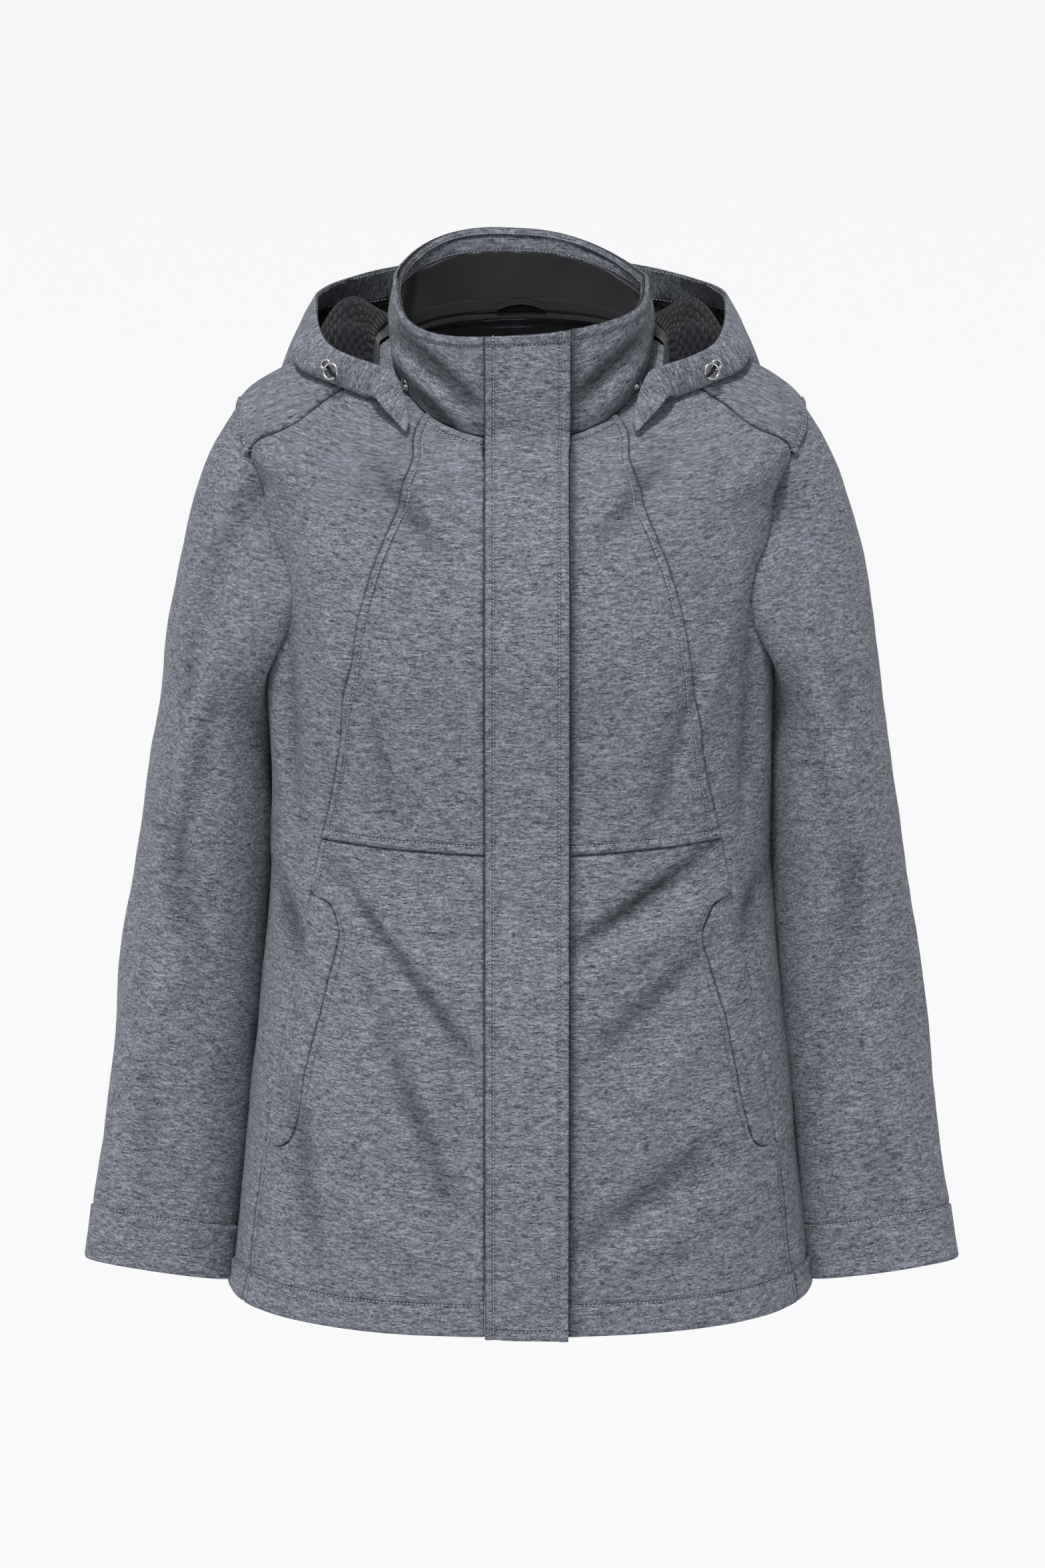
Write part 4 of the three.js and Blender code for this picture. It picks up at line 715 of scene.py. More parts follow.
def fill_between(left, right, bottom, top, rounds=60):
    """A grid of places between four runs: left and right go up, bottom and top go across."""
    v = np.linspace(0, 1, len(left))[:, None, None]
    u = np.linspace(0, 1, len(bottom))[None, :, None]
    sides = (1 - u) * left[:, None] + u * right[:, None]
    ends = (1 - v) * bottom[None] + v * top[None]
    low = (1 - u) * bottom[0] + u * bottom[-1]
    high = (1 - u) * top[0] + u * top[-1]
    grid = sides + ends - ((1 - v) * low + v * high)
    largest_move = 12
    for _ in range(rounds):
        p = ring_point(BODY_RINGS, grid[..., 0], grid[..., 1])
        mean = (p[1:-1, :-2] + p[1:-1, 2:] + p[:-2, 1:-1] + p[2:, 1:-1]) / 4
        move = mean - p[1:-1, 1:-1]
        most = np.maximum(np.linalg.norm(move, axis=-1, keepdims=True) / largest_move, 1)
        grid[1:-1, 1:-1] = slide(grid[1:-1, 1:-1], move / most)
    return grid


# How many coarse cells lie along each run of a seam.
CELLS_UP = {"hem_to_pocket": 4, "pocket": 9, "pocket_end": 2, "pocket_to_waist": 2, "waist_to_neck": 11}
SIDE_SEAM_CELLS = 18
ARMHOLE_CELLS = 8
CENTRE_CELLS = 6
SIDE_CELLS = 5
YOKE_CELLS = 4
OVER_SHOULDER_CELLS = 6
BACK_CELLS = 8


def princess_at(z):
    return place_at(PRINCESS.read("x", z), z)


def princess_run(name, low, high):
    return princess_at(np.linspace(low, high, CELLS_UP[name] + 1))


def make_seams():
    """All the seams of the wearer's left half, as runs of places."""
    armpit = np.array([[np.pi / 2, ARMPIT_AT]])
    tip = np.array([np.pi / 2, SHOULDER_TIP_AT])
    lower = {}
    for face, outline in (("front", ARMHOLE_FRONT), ("back", ARMHOLE_BACK)):
        line = np.array(outline, float)
        run = np.concatenate([place_at(line[:, 0], line[:, 1], face), armpit])
        lower[face] = resampled(run, ARMHOLE_CELLS)
    half = OVER_SHOULDER_CELLS // 2
    over = joined(
        resampled(np.array([lower["front"][0], tip]), half),
        resampled(np.array([tip, lower["back"][0]]), half),
    )
    hem = at_x(PRINCESS.columns["x"][0], 0.0)
    neck = at_x(PRINCESS.columns["x"][-1], 1.0)
    low = np.concatenate([[hem], princess_at([-630]), princess_at([POCKET_FOOT_Z])])
    side = np.linspace(0, ARMPIT_AT, SIDE_SEAM_CELLS + 1)
    seams = {
        "armhole_front": lower["front"][::-1],
        "armhole_back": lower["back"][::-1],
        "over": over,
        "hem_to_pocket": resampled(low, CELLS_UP["hem_to_pocket"]),
        "pocket": princess_run("pocket", POCKET_FOOT_Z, POCKET_HEAD_Z),
        "pocket_to_waist": princess_run("pocket_to_waist", POCKET_HEAD_Z, WAIST_Z),
        "waist_to_neck": princess_run("waist_to_neck", WAIST_Z, PRINCESS.key[-1]),
        "pocket_foot": seam_along(POCKET_FOOT_CURVE, CELLS_UP["pocket_end"]),
        "pocket_edge": seam_along(POCKET_EDGE, CELLS_UP["pocket"]),
        "pocket_head": seam_along(POCKET_HEAD_CURVE, CELLS_UP["pocket_end"]),
        "yoke_front": seam_along(YOKE_FRONT, YOKE_CELLS),
        "yoke_back": seam_along(YOKE_BACK, BACK_CELLS, "back"),
        "side": np.stack([np.full(len(side), np.pi / 2), side], -1),
    }
    seams["waist_to_neck"][-1] = neck
    seams["yoke_front"][0] = over[0]
    seams["yoke_front"][-1] = at_x(YOKE_FRONT[-1][0], 1.0)
    seams["yoke_back"][0] = over[-1]
    return seams


def waist_run(x, princess_point):
    """The waist seam from the centre front to the princess seam."""
    ends = [(x, WAIST[0][1])] + [p for p in WAIST if p[0] > x + 20]
    run = seam_along(ends, CENTRE_CELLS)
    run[-1] = princess_point
    return run


def centre_line(x, low, high, count):
    return at_x(x, np.linspace(low, high, count + 1))


def front_grids(seams, edge_x):
    """Coarse grids of an upper and a lower front, out to the edge at the centre front."""
    waist = waist_run(edge_x, seams["pocket_to_waist"][-1])
    upper_centre = centre_line(edge_x, waist[0, 1], 1, CELLS_UP["waist_to_neck"])
    upper_centre[0] = waist[0]
    neck = along_ring(upper_centre[-1], seams["waist_to_neck"][-1], CENTRE_CELLS)
    upper = fill_between(upper_centre, seams["waist_to_neck"], waist, neck)
    beside = joined(
        seams["hem_to_pocket"], seams["pocket_foot"], seams["pocket_edge"], seams["pocket_head"],
        seams["pocket_to_waist"],
    )
    lower_centre = centre_line(edge_x, 0, waist[0, 1], len(beside) - 1)
    lower_centre[-1] = waist[0]
    lower = fill_between(lower_centre, beside, along_ring(lower_centre[0], beside[0], CENTRE_CELLS), waist)
    return upper, lower


def beyond(run):
    """The same run on the other side, counted on round the back."""
    return np.stack([2 * np.pi - run[:, 0], run[:, 1]], -1)


def body_grids(seams):
    """Coarse grids of a side front and a pocket panel, and of the whole back and yoke."""
    seam = joined(seams["hem_to_pocket"], seams["pocket"], seams["pocket_to_waist"], seams["waist_to_neck"])
    side_top = np.concatenate([seam[-1:], seams["yoke_front"][::-1]])
    side_edge = joined(seams["side"], seams["armhole_front"])
    side_hem = along_ring(seam[0], seams["side"][0], SIDE_CELLS)
    side = fill_between(seam, side_edge, side_hem, side_top)
    pocket_foot = seams["pocket_foot"][::-1]
    pocket = fill_between(seams["pocket_edge"], seams["pocket"], pocket_foot, seams["pocket_head"])
    edge = joined(seams["side"], seams["armhole_back"])
    far = beyond(edge)
    back_top = joined(seams["yoke_back"], beyond(seams["yoke_back"])[::-1])
    back = fill_between(edge, far, along_ring(edge[0], far[0], 2 * BACK_CELLS), back_top)
    half = joined(seams["over"], seams["yoke_back"])
    outer = joined(half, beyond(half)[::-1])
    right = beyond(seams["yoke_front"])
    start, end = seams["yoke_front"][-1], right[-1]
    side_point, other_side = np.array([np.pi / 2, 1.0]), np.array([3 * np.pi / 2, 1.0])
    front_cells = OVER_SHOULDER_CELLS // 2
    neck = joined(
        along_ring(start, side_point, front_cells),
        along_ring(side_point, other_side, len(outer) - 1 - 2 * front_cells),
        along_ring(other_side, end, front_cells),
    )
    yoke = fill_between(seams["yoke_front"], right, outer, neck)
    return side, pocket, back, yoke


# From coarse grids of places to fine ones whose rows and columns follow the seams. Each border of a
# panel has a finish: a plain or topstitched seam, one stitched only above the pocket, an edge tucked
# under its neighbour, a hem or cuff, a rim or finely stitched edge, a free edge or an open one.
BORDERS = ("left", "right", "bottom", "top")

# How far from a border its panel gets rows of points, by its finish.
NEAR_SEAM = np.array([0, 0.35, 0.9, 1.7, 3.0, 4.6, 5.6, 6.1, 6.5, 6.9, 7.4, 8.6, 10.5])
NEAR_HEM = np.array([0, 0.5, 1.2, 2.4, 4.5, 8, 12, 16, 19.5, 21.8, 22.9, 23.5, 24.1, 25.4, 28])
NEAR_CUFF = np.array([0, 0.5, 1.2, 2.4, 4.5, 9, 15, 21, 27, 33, 37.5, 39.6, 40.5, 41, 41.5, 42.5, 45])
NEAR_RIM = np.array([0, 0.4, 0.9, 1.7, 3.1, 4.9, 6.1, 6.6, 7.0, 7.4, 7.9, 9.0, 10.8])
NEAR_FINE = np.array([0, 0.4, 0.8, 1.2, 1.6, 2.0, 2.6, 3.6])
NEAR_PLAIN = NEAR_SEAM[[0, 1, 2, 3, 4, 6]]
NEAR_EDGE = np.array([0, 0.4, 0.9, 1.6, 2.6, 4.2])
NEAR = {
    **dict.fromkeys(("plain", "tucked", "mouth", "beside_pocket"), NEAR_PLAIN),
    **dict.fromkeys(("stitched", "half"), NEAR_SEAM),
    "hem": NEAR_HEM,
    "cuff": NEAR_CUFF,
    "rim": NEAR_RIM,
    "fine": NEAR_FINE,
    "free": NEAR_EDGE,
    "open": np.array([0, 1.0]),
}

# How far from its border a row of topstitches runs.
STITCH_AT = {"stitched": 6.5, "half": 6.5, "hem": 23.5, "cuff": 41.0, "rim": 7.0, "fine": 1.6}
# How deep the stitched groove is, and how far the cloth puffs up between it and the edge.
GROOVE = {"stitched": 1.3, "half": 1.3, "hem": 2.0, "cuff": 1.4, "rim": 1.2, "fine": 0.4}
PUFF = {"stitched": 1.4, "half": 1.4, "hem": 2.0, "cuff": 1.3, "rim": 1.3, "fine": 0.3}
# Finishes whose border is sewn to a neighbour.
SEWN_ON = ("plain", "stitched", "half", "beside_pocket")

# Of the finishes without stitches: how far an edge rolls down, over what distance, and its puckers.
ROLLS = {
    "free": (0.9, 1.6, 0.0),
    "tucked": (0.3, 1.6, 0.2),
    "plain": (1.5, 3.0, 0.25),
    "mouth": (1.3, 6.0, 0.0),
}
# How far from a seam its puckers reach, and how wide a row of stitches dents the cloth.
PUCKER_REACH = 7
STITCH_WIDTH = 0.8


def upsampled(grid, times=8):
    """A smooth finer grid through the places of a coarse one."""
    for axis in (0, 1):
        grid = np.moveaxis(grid, axis, 0)
        count = grid.shape[0]
        key = np.arange(count)
        fine = np.linspace(0, count - 1, (count - 1) * times + 1)
        i = np.clip(fine.astype(int), 0, count - 2)
        t = (fine - i)[:, None, None]
        after, before = np.minimum(key + 1, count - 1), np.maximum(key - 1, 0)
        slope = (grid[after] - grid[before]) / (after - before)[:, None, None]
        grid = np.moveaxis(between(t, grid[i], slope[i], grid[i + 1], slope[i + 1]), 0, axis)
    return grid


def spacing(total, near_start, near_end):
    """Distances along a line of that length: close together near its ends."""
    most = 0.42 * total
    return near_start * min(1, most / near_start[-1]), near_end * min(1, most / near_end[-1])


def distances(reach, near_start, near_end, cell):
    """How far along each line of a grid its points will lie."""
    mean = reach[:, -1].mean()
    start, end = spacing(mean, near_start, near_end)
    cells = max(2, round((mean - start[-1] - end[-1]) / cell))
    rows = []
    for total in reach[:, -1]:
        s, e = spacing(total, near_start, near_end)
        middle = np.linspace(s[-1], total - e[-1], cells + 1)
        rows.append(np.concatenate([s, middle[1:-1], (total - e)[::-1]]))
    return np.array(rows)


def fine_grid(surface, grid, borders, cell=3.6):
    """A grid of places on a surface, about a cell apart but closer near its borders, and how far each
    lies from them."""
    for first, axis in ((0, 1), (2, 0)):
        grid = np.moveaxis(grid, axis, 1)
        reach = lengths_along(surface(grid), 1)
        start, end = (NEAR[borders[name]] for name in BORDERS[first : first + 2])
        wanted = distances(reach, start, end, cell)
        columns = [
            [np.interp(w, r, line[:, k]) for w, r, line in zip(wanted, reach, grid)]
            for k in range(grid.shape[-1])
        ]
        grid = np.moveaxis(np.stack(columns, -1), 1, axis)
    points = surface(grid)
    across, up = lengths_along(points, 1), lengths_along(points, 0)
    return grid, {"left": across, "right": across[:, -1:] - across, "bottom": up, "top": up[-1:] - up}


# Swells of cloth over an uneven form, and puckers along a seam: height, size and seed of each.
SWELLS = ((0.8, 120, 11), (0.4, 52, 12), (0.14, 24, 13))
PUCKERS = ((1, 15, 5), (0.6, 7.5, 6))


def noise(points, size, seed, waves=9):
    """Smooth noise between about -1 and 1 that repeats its swings every "size" millimetres."""
    random = np.random.default_rng(seed)
    directions = unit(random.normal(size=(waves, 3))) * random.uniform(0.7, 1.3, (waves, 1))
    phases = random.uniform(0, 2 * np.pi, waves)
    return np.sin(points @ directions.T * (2 * np.pi / size) + phases).sum(-1) / math.sqrt(waves)


def noises(points, table):
    """Noises of several sizes on top of each other."""
    return sum(high * noise(points, size, seed) for high, size, seed in table)


def fall(away, reach):
    """1 at a border, falling smoothly to 0 at "reach"."""
    return np.clip(1 - away / reach, 0, 1) ** 2


def seam_relief(points, away, finish):
    """How the cloth rises and dips by its distance from a border with that finish."""
    puckers = noises(points, PUCKERS)

    def rolled(kind):
        drop, reach, pucker = ROLLS[kind]
        return -drop * fall(away, reach) + pucker * puckers * np.exp(-away / PUCKER_REACH)

    if finish == "open":
        return np.zeros(away.shape)
    if finish in ROLLS:
        return rolled(finish)
    if finish == "beside_pocket":
        share = beside_pocket(points)
        return share * rolled("mouth") + (1 - share) * rolled("plain")
    line = STITCH_AT[finish]
    groove = -GROOVE[finish] * np.exp(-(((away - line) / STITCH_WIDTH) ** 2))
    raised = PUFF[finish] * np.clip((line + 1.2 - away) / 2.2, 0, 1)
    roll = (-2.0 if finish in SEWN_ON else -1.2) * fall(away, 2.6)
    stitched = roll + groove + raised + 0.4 * puckers * np.exp(-np.abs(away - line) / PUCKER_REACH)
    if finish != "half":
        return stitched
    share = above_pocket(points)
    return share * stitched + (1 - share) * rolled("plain")


def above_pocket(points):
    """1 above the pocket's head, easing to 0 at it."""
    return np.clip((points[..., 2] - POCKET_HEAD_Z - 2) / 6, 0, 1)


def beside_pocket(points):
    """1 beside the pocket's opening, easing to 0 at its ends."""
    z = points[..., 2]
    return np.clip((z - POCKET_FOOT_Z) / 8, 0, 1) * np.clip((POCKET_HEAD_Z - z) / 8, 0, 1)


def border_relief(points, away, borders):
    """The relief of all four borders of a panel."""
    return sum(seam_relief(points, away[name], finish) for name, finish in borders.items())


def painted_fold_shade(points, away, borders, dips=0.0):
    """Painted shade, from 0 to 1: how dark the cloth is painted along a seam or a row of stitches and at the
    bottom of a dip. The dips also carry the painted shadow beside the storm flap and the painted shade at
    the collar's foot. The pocket's opening gets less painted shade than a seam."""
    darkest_at, darkest = 8.5, 0.7
    shade = np.clip(-np.asarray(dips) / darkest_at, 0, darkest) + np.zeros(points.shape[:2])
    for name, finish in borders.items():
        if finish in SEWN_ON:
            depth = 0.75 - 0.45 * beside_pocket(points) * (finish == "beside_pocket")
            shade = np.maximum(shade, depth * np.exp(-((away[name] / 0.9) ** 2)))
        if finish in STITCH_AT:
            depth = 0.4 if finish in SEWN_ON else 0.6
            from_line = away[name] - STITCH_AT[finish]
            shade = np.maximum(shade, depth * np.exp(-((from_line / STITCH_WIDTH) ** 2)))
    return shade


def cloth_unevenness(points):
    """Low swells of cloth that hangs over an uneven form."""
    return noises(points, SWELLS)


# Meshes.
def make_mesh(name, points, faces, uvs, materials, face_materials, shade=None):
    """A smooth-shaded mesh piece from points in millimetres."""
    mesh = bpy.data.meshes.new(name)
    faces = np.asarray(faces, np.int32)
    mesh.vertices.add(len(points))
    mesh.vertices.foreach_set("co", (np.asarray(points) / 1000).astype(np.float32).ravel())
    mesh.loops.add(faces.size)
    mesh.loops.foreach_set("vertex_index", faces.ravel())
    mesh.polygons.add(len(faces))
    mesh.polygons.foreach_set("loop_start", np.arange(0, faces.size, faces.shape[1], dtype=np.int32))
    mesh.polygons.foreach_set("material_index", np.asarray(face_materials, np.int32))
    layer = mesh.uv_layers.new(name="Cloth")
    layer.data.foreach_set("uv", np.asarray(uvs, np.float32)[faces.ravel()].ravel())
    # Painted shade, kept as a point attribute that the knit material darkens by.
    if shade is not None:
        painted_shade = mesh.attributes.new("painted_shade", "FLOAT", "POINT")
        painted_shade.data.foreach_set("value", np.asarray(shade, np.float32).ravel())
    for material in materials:
        mesh.materials.append(material)
    mesh.update()
    mesh.validate()
    mesh.shade_smooth()
    return add_piece(name, mesh)


def add_piece(name, mesh):
    piece = bpy.data.objects.new(name, mesh)
    bpy.context.scene.collection.objects.link(piece)
    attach(piece, "root")
    return piece


def wall_faces(rows, columns):
    """Quads of a closed wall whose outer and inner sheets are grids of that size, and each quad's sheet."""
    ids = np.arange(rows * columns).reshape(rows, columns)
    count = rows * columns
    sheet = np.stack([ids[:-1, :-1], ids[:-1, 1:], ids[1:, 1:], ids[1:, :-1]], -1).reshape(-1, 4)
    edges = [ids[0, ::-1], ids[-1], ids[:, 0], ids[::-1, -1]]
    rims = [np.stack([edge[:-1], edge[:-1] + count, edge[1:] + count, edge[1:]], -1) for edge in edges]
    faces = np.concatenate([sheet, sheet[:, ::-1] + count, *rims])
    inner = np.zeros(len(faces))
    inner[len(sheet) : 2 * len(sheet)] = 1
    return faces, inner


def facing_out(points, faces, centre=(0, 0, 0)):
    """The faces, all turned over if they face the centre."""
    a, b, c, d = (points[faces[:, i]] for i in range(4))
    normals = np.cross(b - a, c - a) + np.cross(c - a, d - a)
    return faces if (normals * (a - centre)).sum() > 0 else faces[:, ::-1]


def make_wall(name, outer, inner, uvs, materials, shade=None):
    """A closed piece of cloth between two sheets; its inner face has the second material."""
    faces, sheets = wall_faces(*outer.shape[:2])
    points = np.concatenate([outer.reshape(-1, 3), inner.reshape(-1, 3)])
    faces = facing_out(points, faces)
    flat = np.concatenate([uvs.reshape(-1, 2)] * 2)
    which = sheets if len(materials) > 1 else np.zeros(len(faces))
    shades = None if shade is None else np.concatenate([np.broadcast_to(shade, outer.shape[:2])] * 2)
    return make_mesh(name, points, faces, flat, materials, which, shades)


def grid_normals(points, outwards):
    """Normals of a grid of points, turned to the side of "outwards" at its middle."""
    normals = unit(np.cross(np.gradient(points, axis=1), np.gradient(points, axis=0)))
    middle = normals[points.shape[0] // 2, points.shape[1] // 2]
    return normals * np.sign(middle @ np.asarray(outwards, float))


def edge_thickness(away, thick):
    """The cloth thins to a rounded edge at its borders."""
    edge = np.minimum.reduce([away[name] for name in BORDERS])
    return thick * (1 - 0.45 * fall(edge, 1.6))


# The lines that topstitches follow, by part of the jacket.
stitch_lines = {}


def note_stitches(group, points, normals, borders):
    """Keeps the lines that the topstitches of a panel follow."""
    cuts = {"left": (1, 1), "right": (1, -1), "bottom": (0, 1), "top": (0, -1)}
    for name, finish in borders.items():
        if finish not in STITCH_AT:
            continue
        axis, end = cuts[name]
        near = NEAR[finish]
        index = int(np.argmin(abs(near - STITCH_AT[finish])))
        index = index if end > 0 else points.shape[axis] - 1 - index
        line = np.take(points + 0.3 * normals, index, axis)
        if finish == "half":
            line = line[above_pocket(line) > 0.5]
        stitch_lines.setdefault(group, []).append(line)


def sew(name, points, normals, away, borders, uvs, materials, thick=CLOTH, group="body", dips=0.0):
    """Makes a piece of shell cloth from its outer points, in place of the node of that name."""
    inner = points - normals * edge_thickness(away, thick)[..., None]
    shade = painted_fold_shade(points, away, borders, dips)
    piece = make_wall(f"{name}_cloth", points, inner, uvs, materials, shade)
    note_stitches(group, points, normals, borders)
    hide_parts(name)


def pair(stem):
    """The names of a pair of pieces, by side."""
    return {1: f"{stem}_left", -1: f"{stem}_right"}


def flat_by_distance(points, column=None, even=False):
    """Flat places of a grid in metres, by distances along its rows and columns; even rows don't shear."""
    across, up = lengths_along(points, 1), lengths_along(points, 0)
    middle = points.shape[1] // 2 if column is None else column
    if even:
        across, up = across.mean(0, keepdims=True), up.mean(1, keepdims=True)
    across, up = np.broadcast_arrays(across - across[:, middle : middle + 1], up)
    return np.stack([across, up], -1) / 1000


class Pattern:
    """Flat places of the body's cloth in metres, for the knit: distances round and up the rings."""

    def __init__(self, rings, low, high):
        self.turns = np.linspace(-2.0, 2 * np.pi + 2.0, 900)
        self.ats = np.linspace(low, high, 160)
        points = ring_point(rings, *np.meshgrid(self.turns, self.ats))
        across = lengths_along(points, 1)
        zero = np.searchsorted(self.turns, 0)
        self.across = across - across[:, zero : zero + 1]
        self.up = lengths_along(points, 0)

    def flat(self, grid):
        """Reads both distances between the nearest four places that were measured."""
        i = (grid[..., 0] - self.turns[0]) / (self.turns[1] - self.turns[0])
        j = (grid[..., 1] - self.ats[0]) / (self.ats[1] - self.ats[0])
        i, j = np.clip(i, 0, len(self.turns) - 1.001), np.clip(j, 0, len(self.ats) - 1.001)
        i0, j0 = i.astype(int), j.astype(int)
        s, t = i - i0, j - j0
        places = []
        for table in (self.across, self.up):
            low = table[j0, i0] * (1 - s) + table[j0, i0 + 1] * s
            high = table[j0 + 1, i0] * (1 - s) + table[j0 + 1, i0 + 1] * s
            places.append(low * (1 - t) + high * t)
        return np.stack(places, -1) / 1000


# The finishes, and the flat patterns of the body's and the collar's cloth.
knit = make_knit_shell("bonded_knit_shell", "#9ba1ad", "#15171b")
backing = make_fine_surface("brushed_fleece_backing", "#26272c", "#34363d")
collar_cloth = make_fine_surface("smooth_tricot_lining", "#1b1b1e", "#252529", 1500.0, 0.0001, 0.8, 0.15)
quilt = make_quilted_lining("embossed_quilt_lining")
tape_cloth = make_ribbed_tape("grosgrain_tape", "#151517", "#2c2d31")
nickel = make_nickel("nickel_plated_brass")
elastic = make_ribbed_tape("braided_elastic", "#0c0c0d", "#1f1f22", 0.8)
acetal = make_fine_surface("moulded_acetal_teeth", "#141416", "#1c1c1f", 600.0, 0.00003, 0.4, 0.0)
thread = make_fine_surface("polyester_thread", "#aeb3bd", "#c3c7d0", 2500.0, 0.00005, 0.6, 0.1)
pattern = Pattern(BODY_RINGS, -0.05, 1.0)
collar_pattern = Pattern(COLLAR_RINGS, 1.0, 2.0)


def body_surface(grid):
    return ring_point(BODY_RINGS, grid[..., 0], grid[..., 1])


def painted_flap_shadow(points, turn):
    """The painted shadow that the storm flap's free edge would throw on the cloth under it, given as a
    negative dip that becomes painted shade.
    """
    depth, reach = 7.5, 5.0
    past = np.maximum(points[..., 0] - FLAP_EDGE_X - 0.5, 0)
    return -depth * np.exp(-((past / reach) ** 2)) * (np.cos(turn) > 0) * (points[..., 0] > 0)


def body_panel(names, coarse, borders, flat=None):
    """A sewn panel of the body, on one or both sides."""
    grid, away = fine_grid(body_surface, upsampled(coarse), borders)
    turn, at = grid[..., 0], grid[..., 1]
    for side, name in names.items():
        base = body_surface(grid) * MIRRORS[side]
        relief = cloth_unevenness(base) + border_relief(base, away, borders)
        outer = skin(BODY_RINGS, turn, at, relief, side)
        normals = ring_normal(BODY_RINGS, turn, at) * MIRRORS[side]
        flat_places = flat(base, turn) if flat else pattern.flat(grid) * [side, 1]
        # Painted shade in the troughs of the creases, and the painted shadow beside the storm flap.
        dips = crease_height(base, turn) + painted_flap_shadow(base, turn)
        sew(name, outer, normals, away, borders, flat_places, [knit, backing], dips=dips)


def flat_over_shoulders(points, turn):
    """Flat places of the yoke in metres: its grain runs straight across, over both shoulders."""
    ridge = ring_point(BODY_RINGS, np.full(40, np.pi / 2), np.linspace(0.84, 1, 40))[::-1]
    under_ridge = np.interp(np.abs(points[..., 0]), ridge[:, 0], ridge[:, 2]) - points[..., 2]
    along = points[..., 1] - np.where(np.cos(turn) > 0, 1, -1) * under_ridge
    wider, shorter = 1.1, 0.85
    return np.stack([wider * points[..., 0], shorter * along], -1) / 1000


def make_body(seams):
    left_upper, left_lower = front_grids(seams, FRONT_EDGE_X)
    right_upper, right_lower = front_grids(seams, -FLAP_SEAM_X)
    side, pocket, back, yoke = body_grids(seams)
    upper = {"left": "plain", "right": "stitched", "bottom": "stitched", "top": "stitched"}
    lower = {"left": "plain", "right": "half", "bottom": "hem", "top": "plain"}
    plain = {"left": "plain", "right": "plain", "bottom": "plain", "top": "plain"}
    body_panel({1: "front_upper_left"}, left_upper, upper)
    body_panel({-1: "front_upper_right"}, right_upper, upper)
    body_panel({1: "front_lower_left"}, left_lower, lower)
    body_panel({-1: "front_lower_right"}, right_lower, lower)
    body_panel(pair("pocket_panel"), pocket, {**plain, "right": "mouth"})
    body_panel(pair("front_side"), side, {**plain, "left": "beside_pocket", "bottom": "hem"})
    body_panel({1: "back"}, back, {**plain, "bottom": "hem"})
    body_panel({1: "yoke"}, yoke, {name: "stitched" for name in BORDERS}, flat_over_shoulders)


# Sleeves.
def sleeve_crease_height(angle, along, side):
    """The right sleeve's creases lie a little further round and lower than the left one's."""
    on_right = (1 - side) / 2
    further_round, lower = 12 * on_right, 0.06 * on_right
    degrees = np.degrees(np.where(angle > np.pi, angle - 2 * np.pi, angle)) + further_round
    along = along + lower
    height = 0.0
    for start, round_at, length, slant, wide, high in SLEEVE_CREASES:
        t = np.clip((along - start) / length, 0, 1)
        d_round = np.radians(degrees - round_at - slant * t) * SLEEVE_RADIUS
        d_along = (along - start - length * t) * SLEEVE_LENGTH
        fade = 0.3 + 0.7 * np.sin(np.pi * t)
        height = height + CREASE_DEPTH * high * fade * np.exp(-(d_round**2 + d_along**2) / wide**2)
    return height


def sleeve_tube(angle, at, side=0):
    """Points of the sleeve's tube: angle 0 is the outer side, 90 degrees the front."""
    size = SLEEVE_SECTIONS.at(at)
    outward = signed_power(np.cos(angle), 2 / SLEEVE_SQUARE)
    forward = signed_power(np.sin(angle), 2 / SLEEVE_SQUARE)
    crease = sleeve_crease_height(angle, at, side) if side else 0.0
    x = (size["halfX"] + crease + size["lean"] * (outward < 0)) * outward
    y = (size["halfY"] + crease) * forward
    lift = x * np.tan(np.radians(size["tilt"])) + y * math.tan(math.radians(SLEEVE_PITCH))
    return np.stack([size["x"] + x, size["y"] - y, size["z"] + lift], -1)


def sleeve_cap(start, angle, t, side):
    """Between the armhole and the tube the cloth leaves the seam outwards and then falls, less steeply
    at the shoulder than under the arm."""
    end = sleeve_tube(angle, 0.0)
    arrive = unit(sleeve_tube(angle, 0.02) - end)
    length = np.linalg.norm(start - end, axis=-1, keepdims=True)
    inner = (1 - np.cos(angle)) / 2
    leave = unit(np.stack([0.58 - 0.25 * inner, -0.42 * np.sin(angle), -0.8 - 0.1 * inner], -1))
    point = between(t[..., None], start, leave, end, arrive, length)
    crease = eased(np.clip(t / 0.5, 0, 1)) * sleeve_crease_height(angle, (t - 1) * 0.5, side)
    return point + crease[..., None] * np.stack([np.cos(angle), -np.sin(angle), np.zeros_like(angle)], -1)


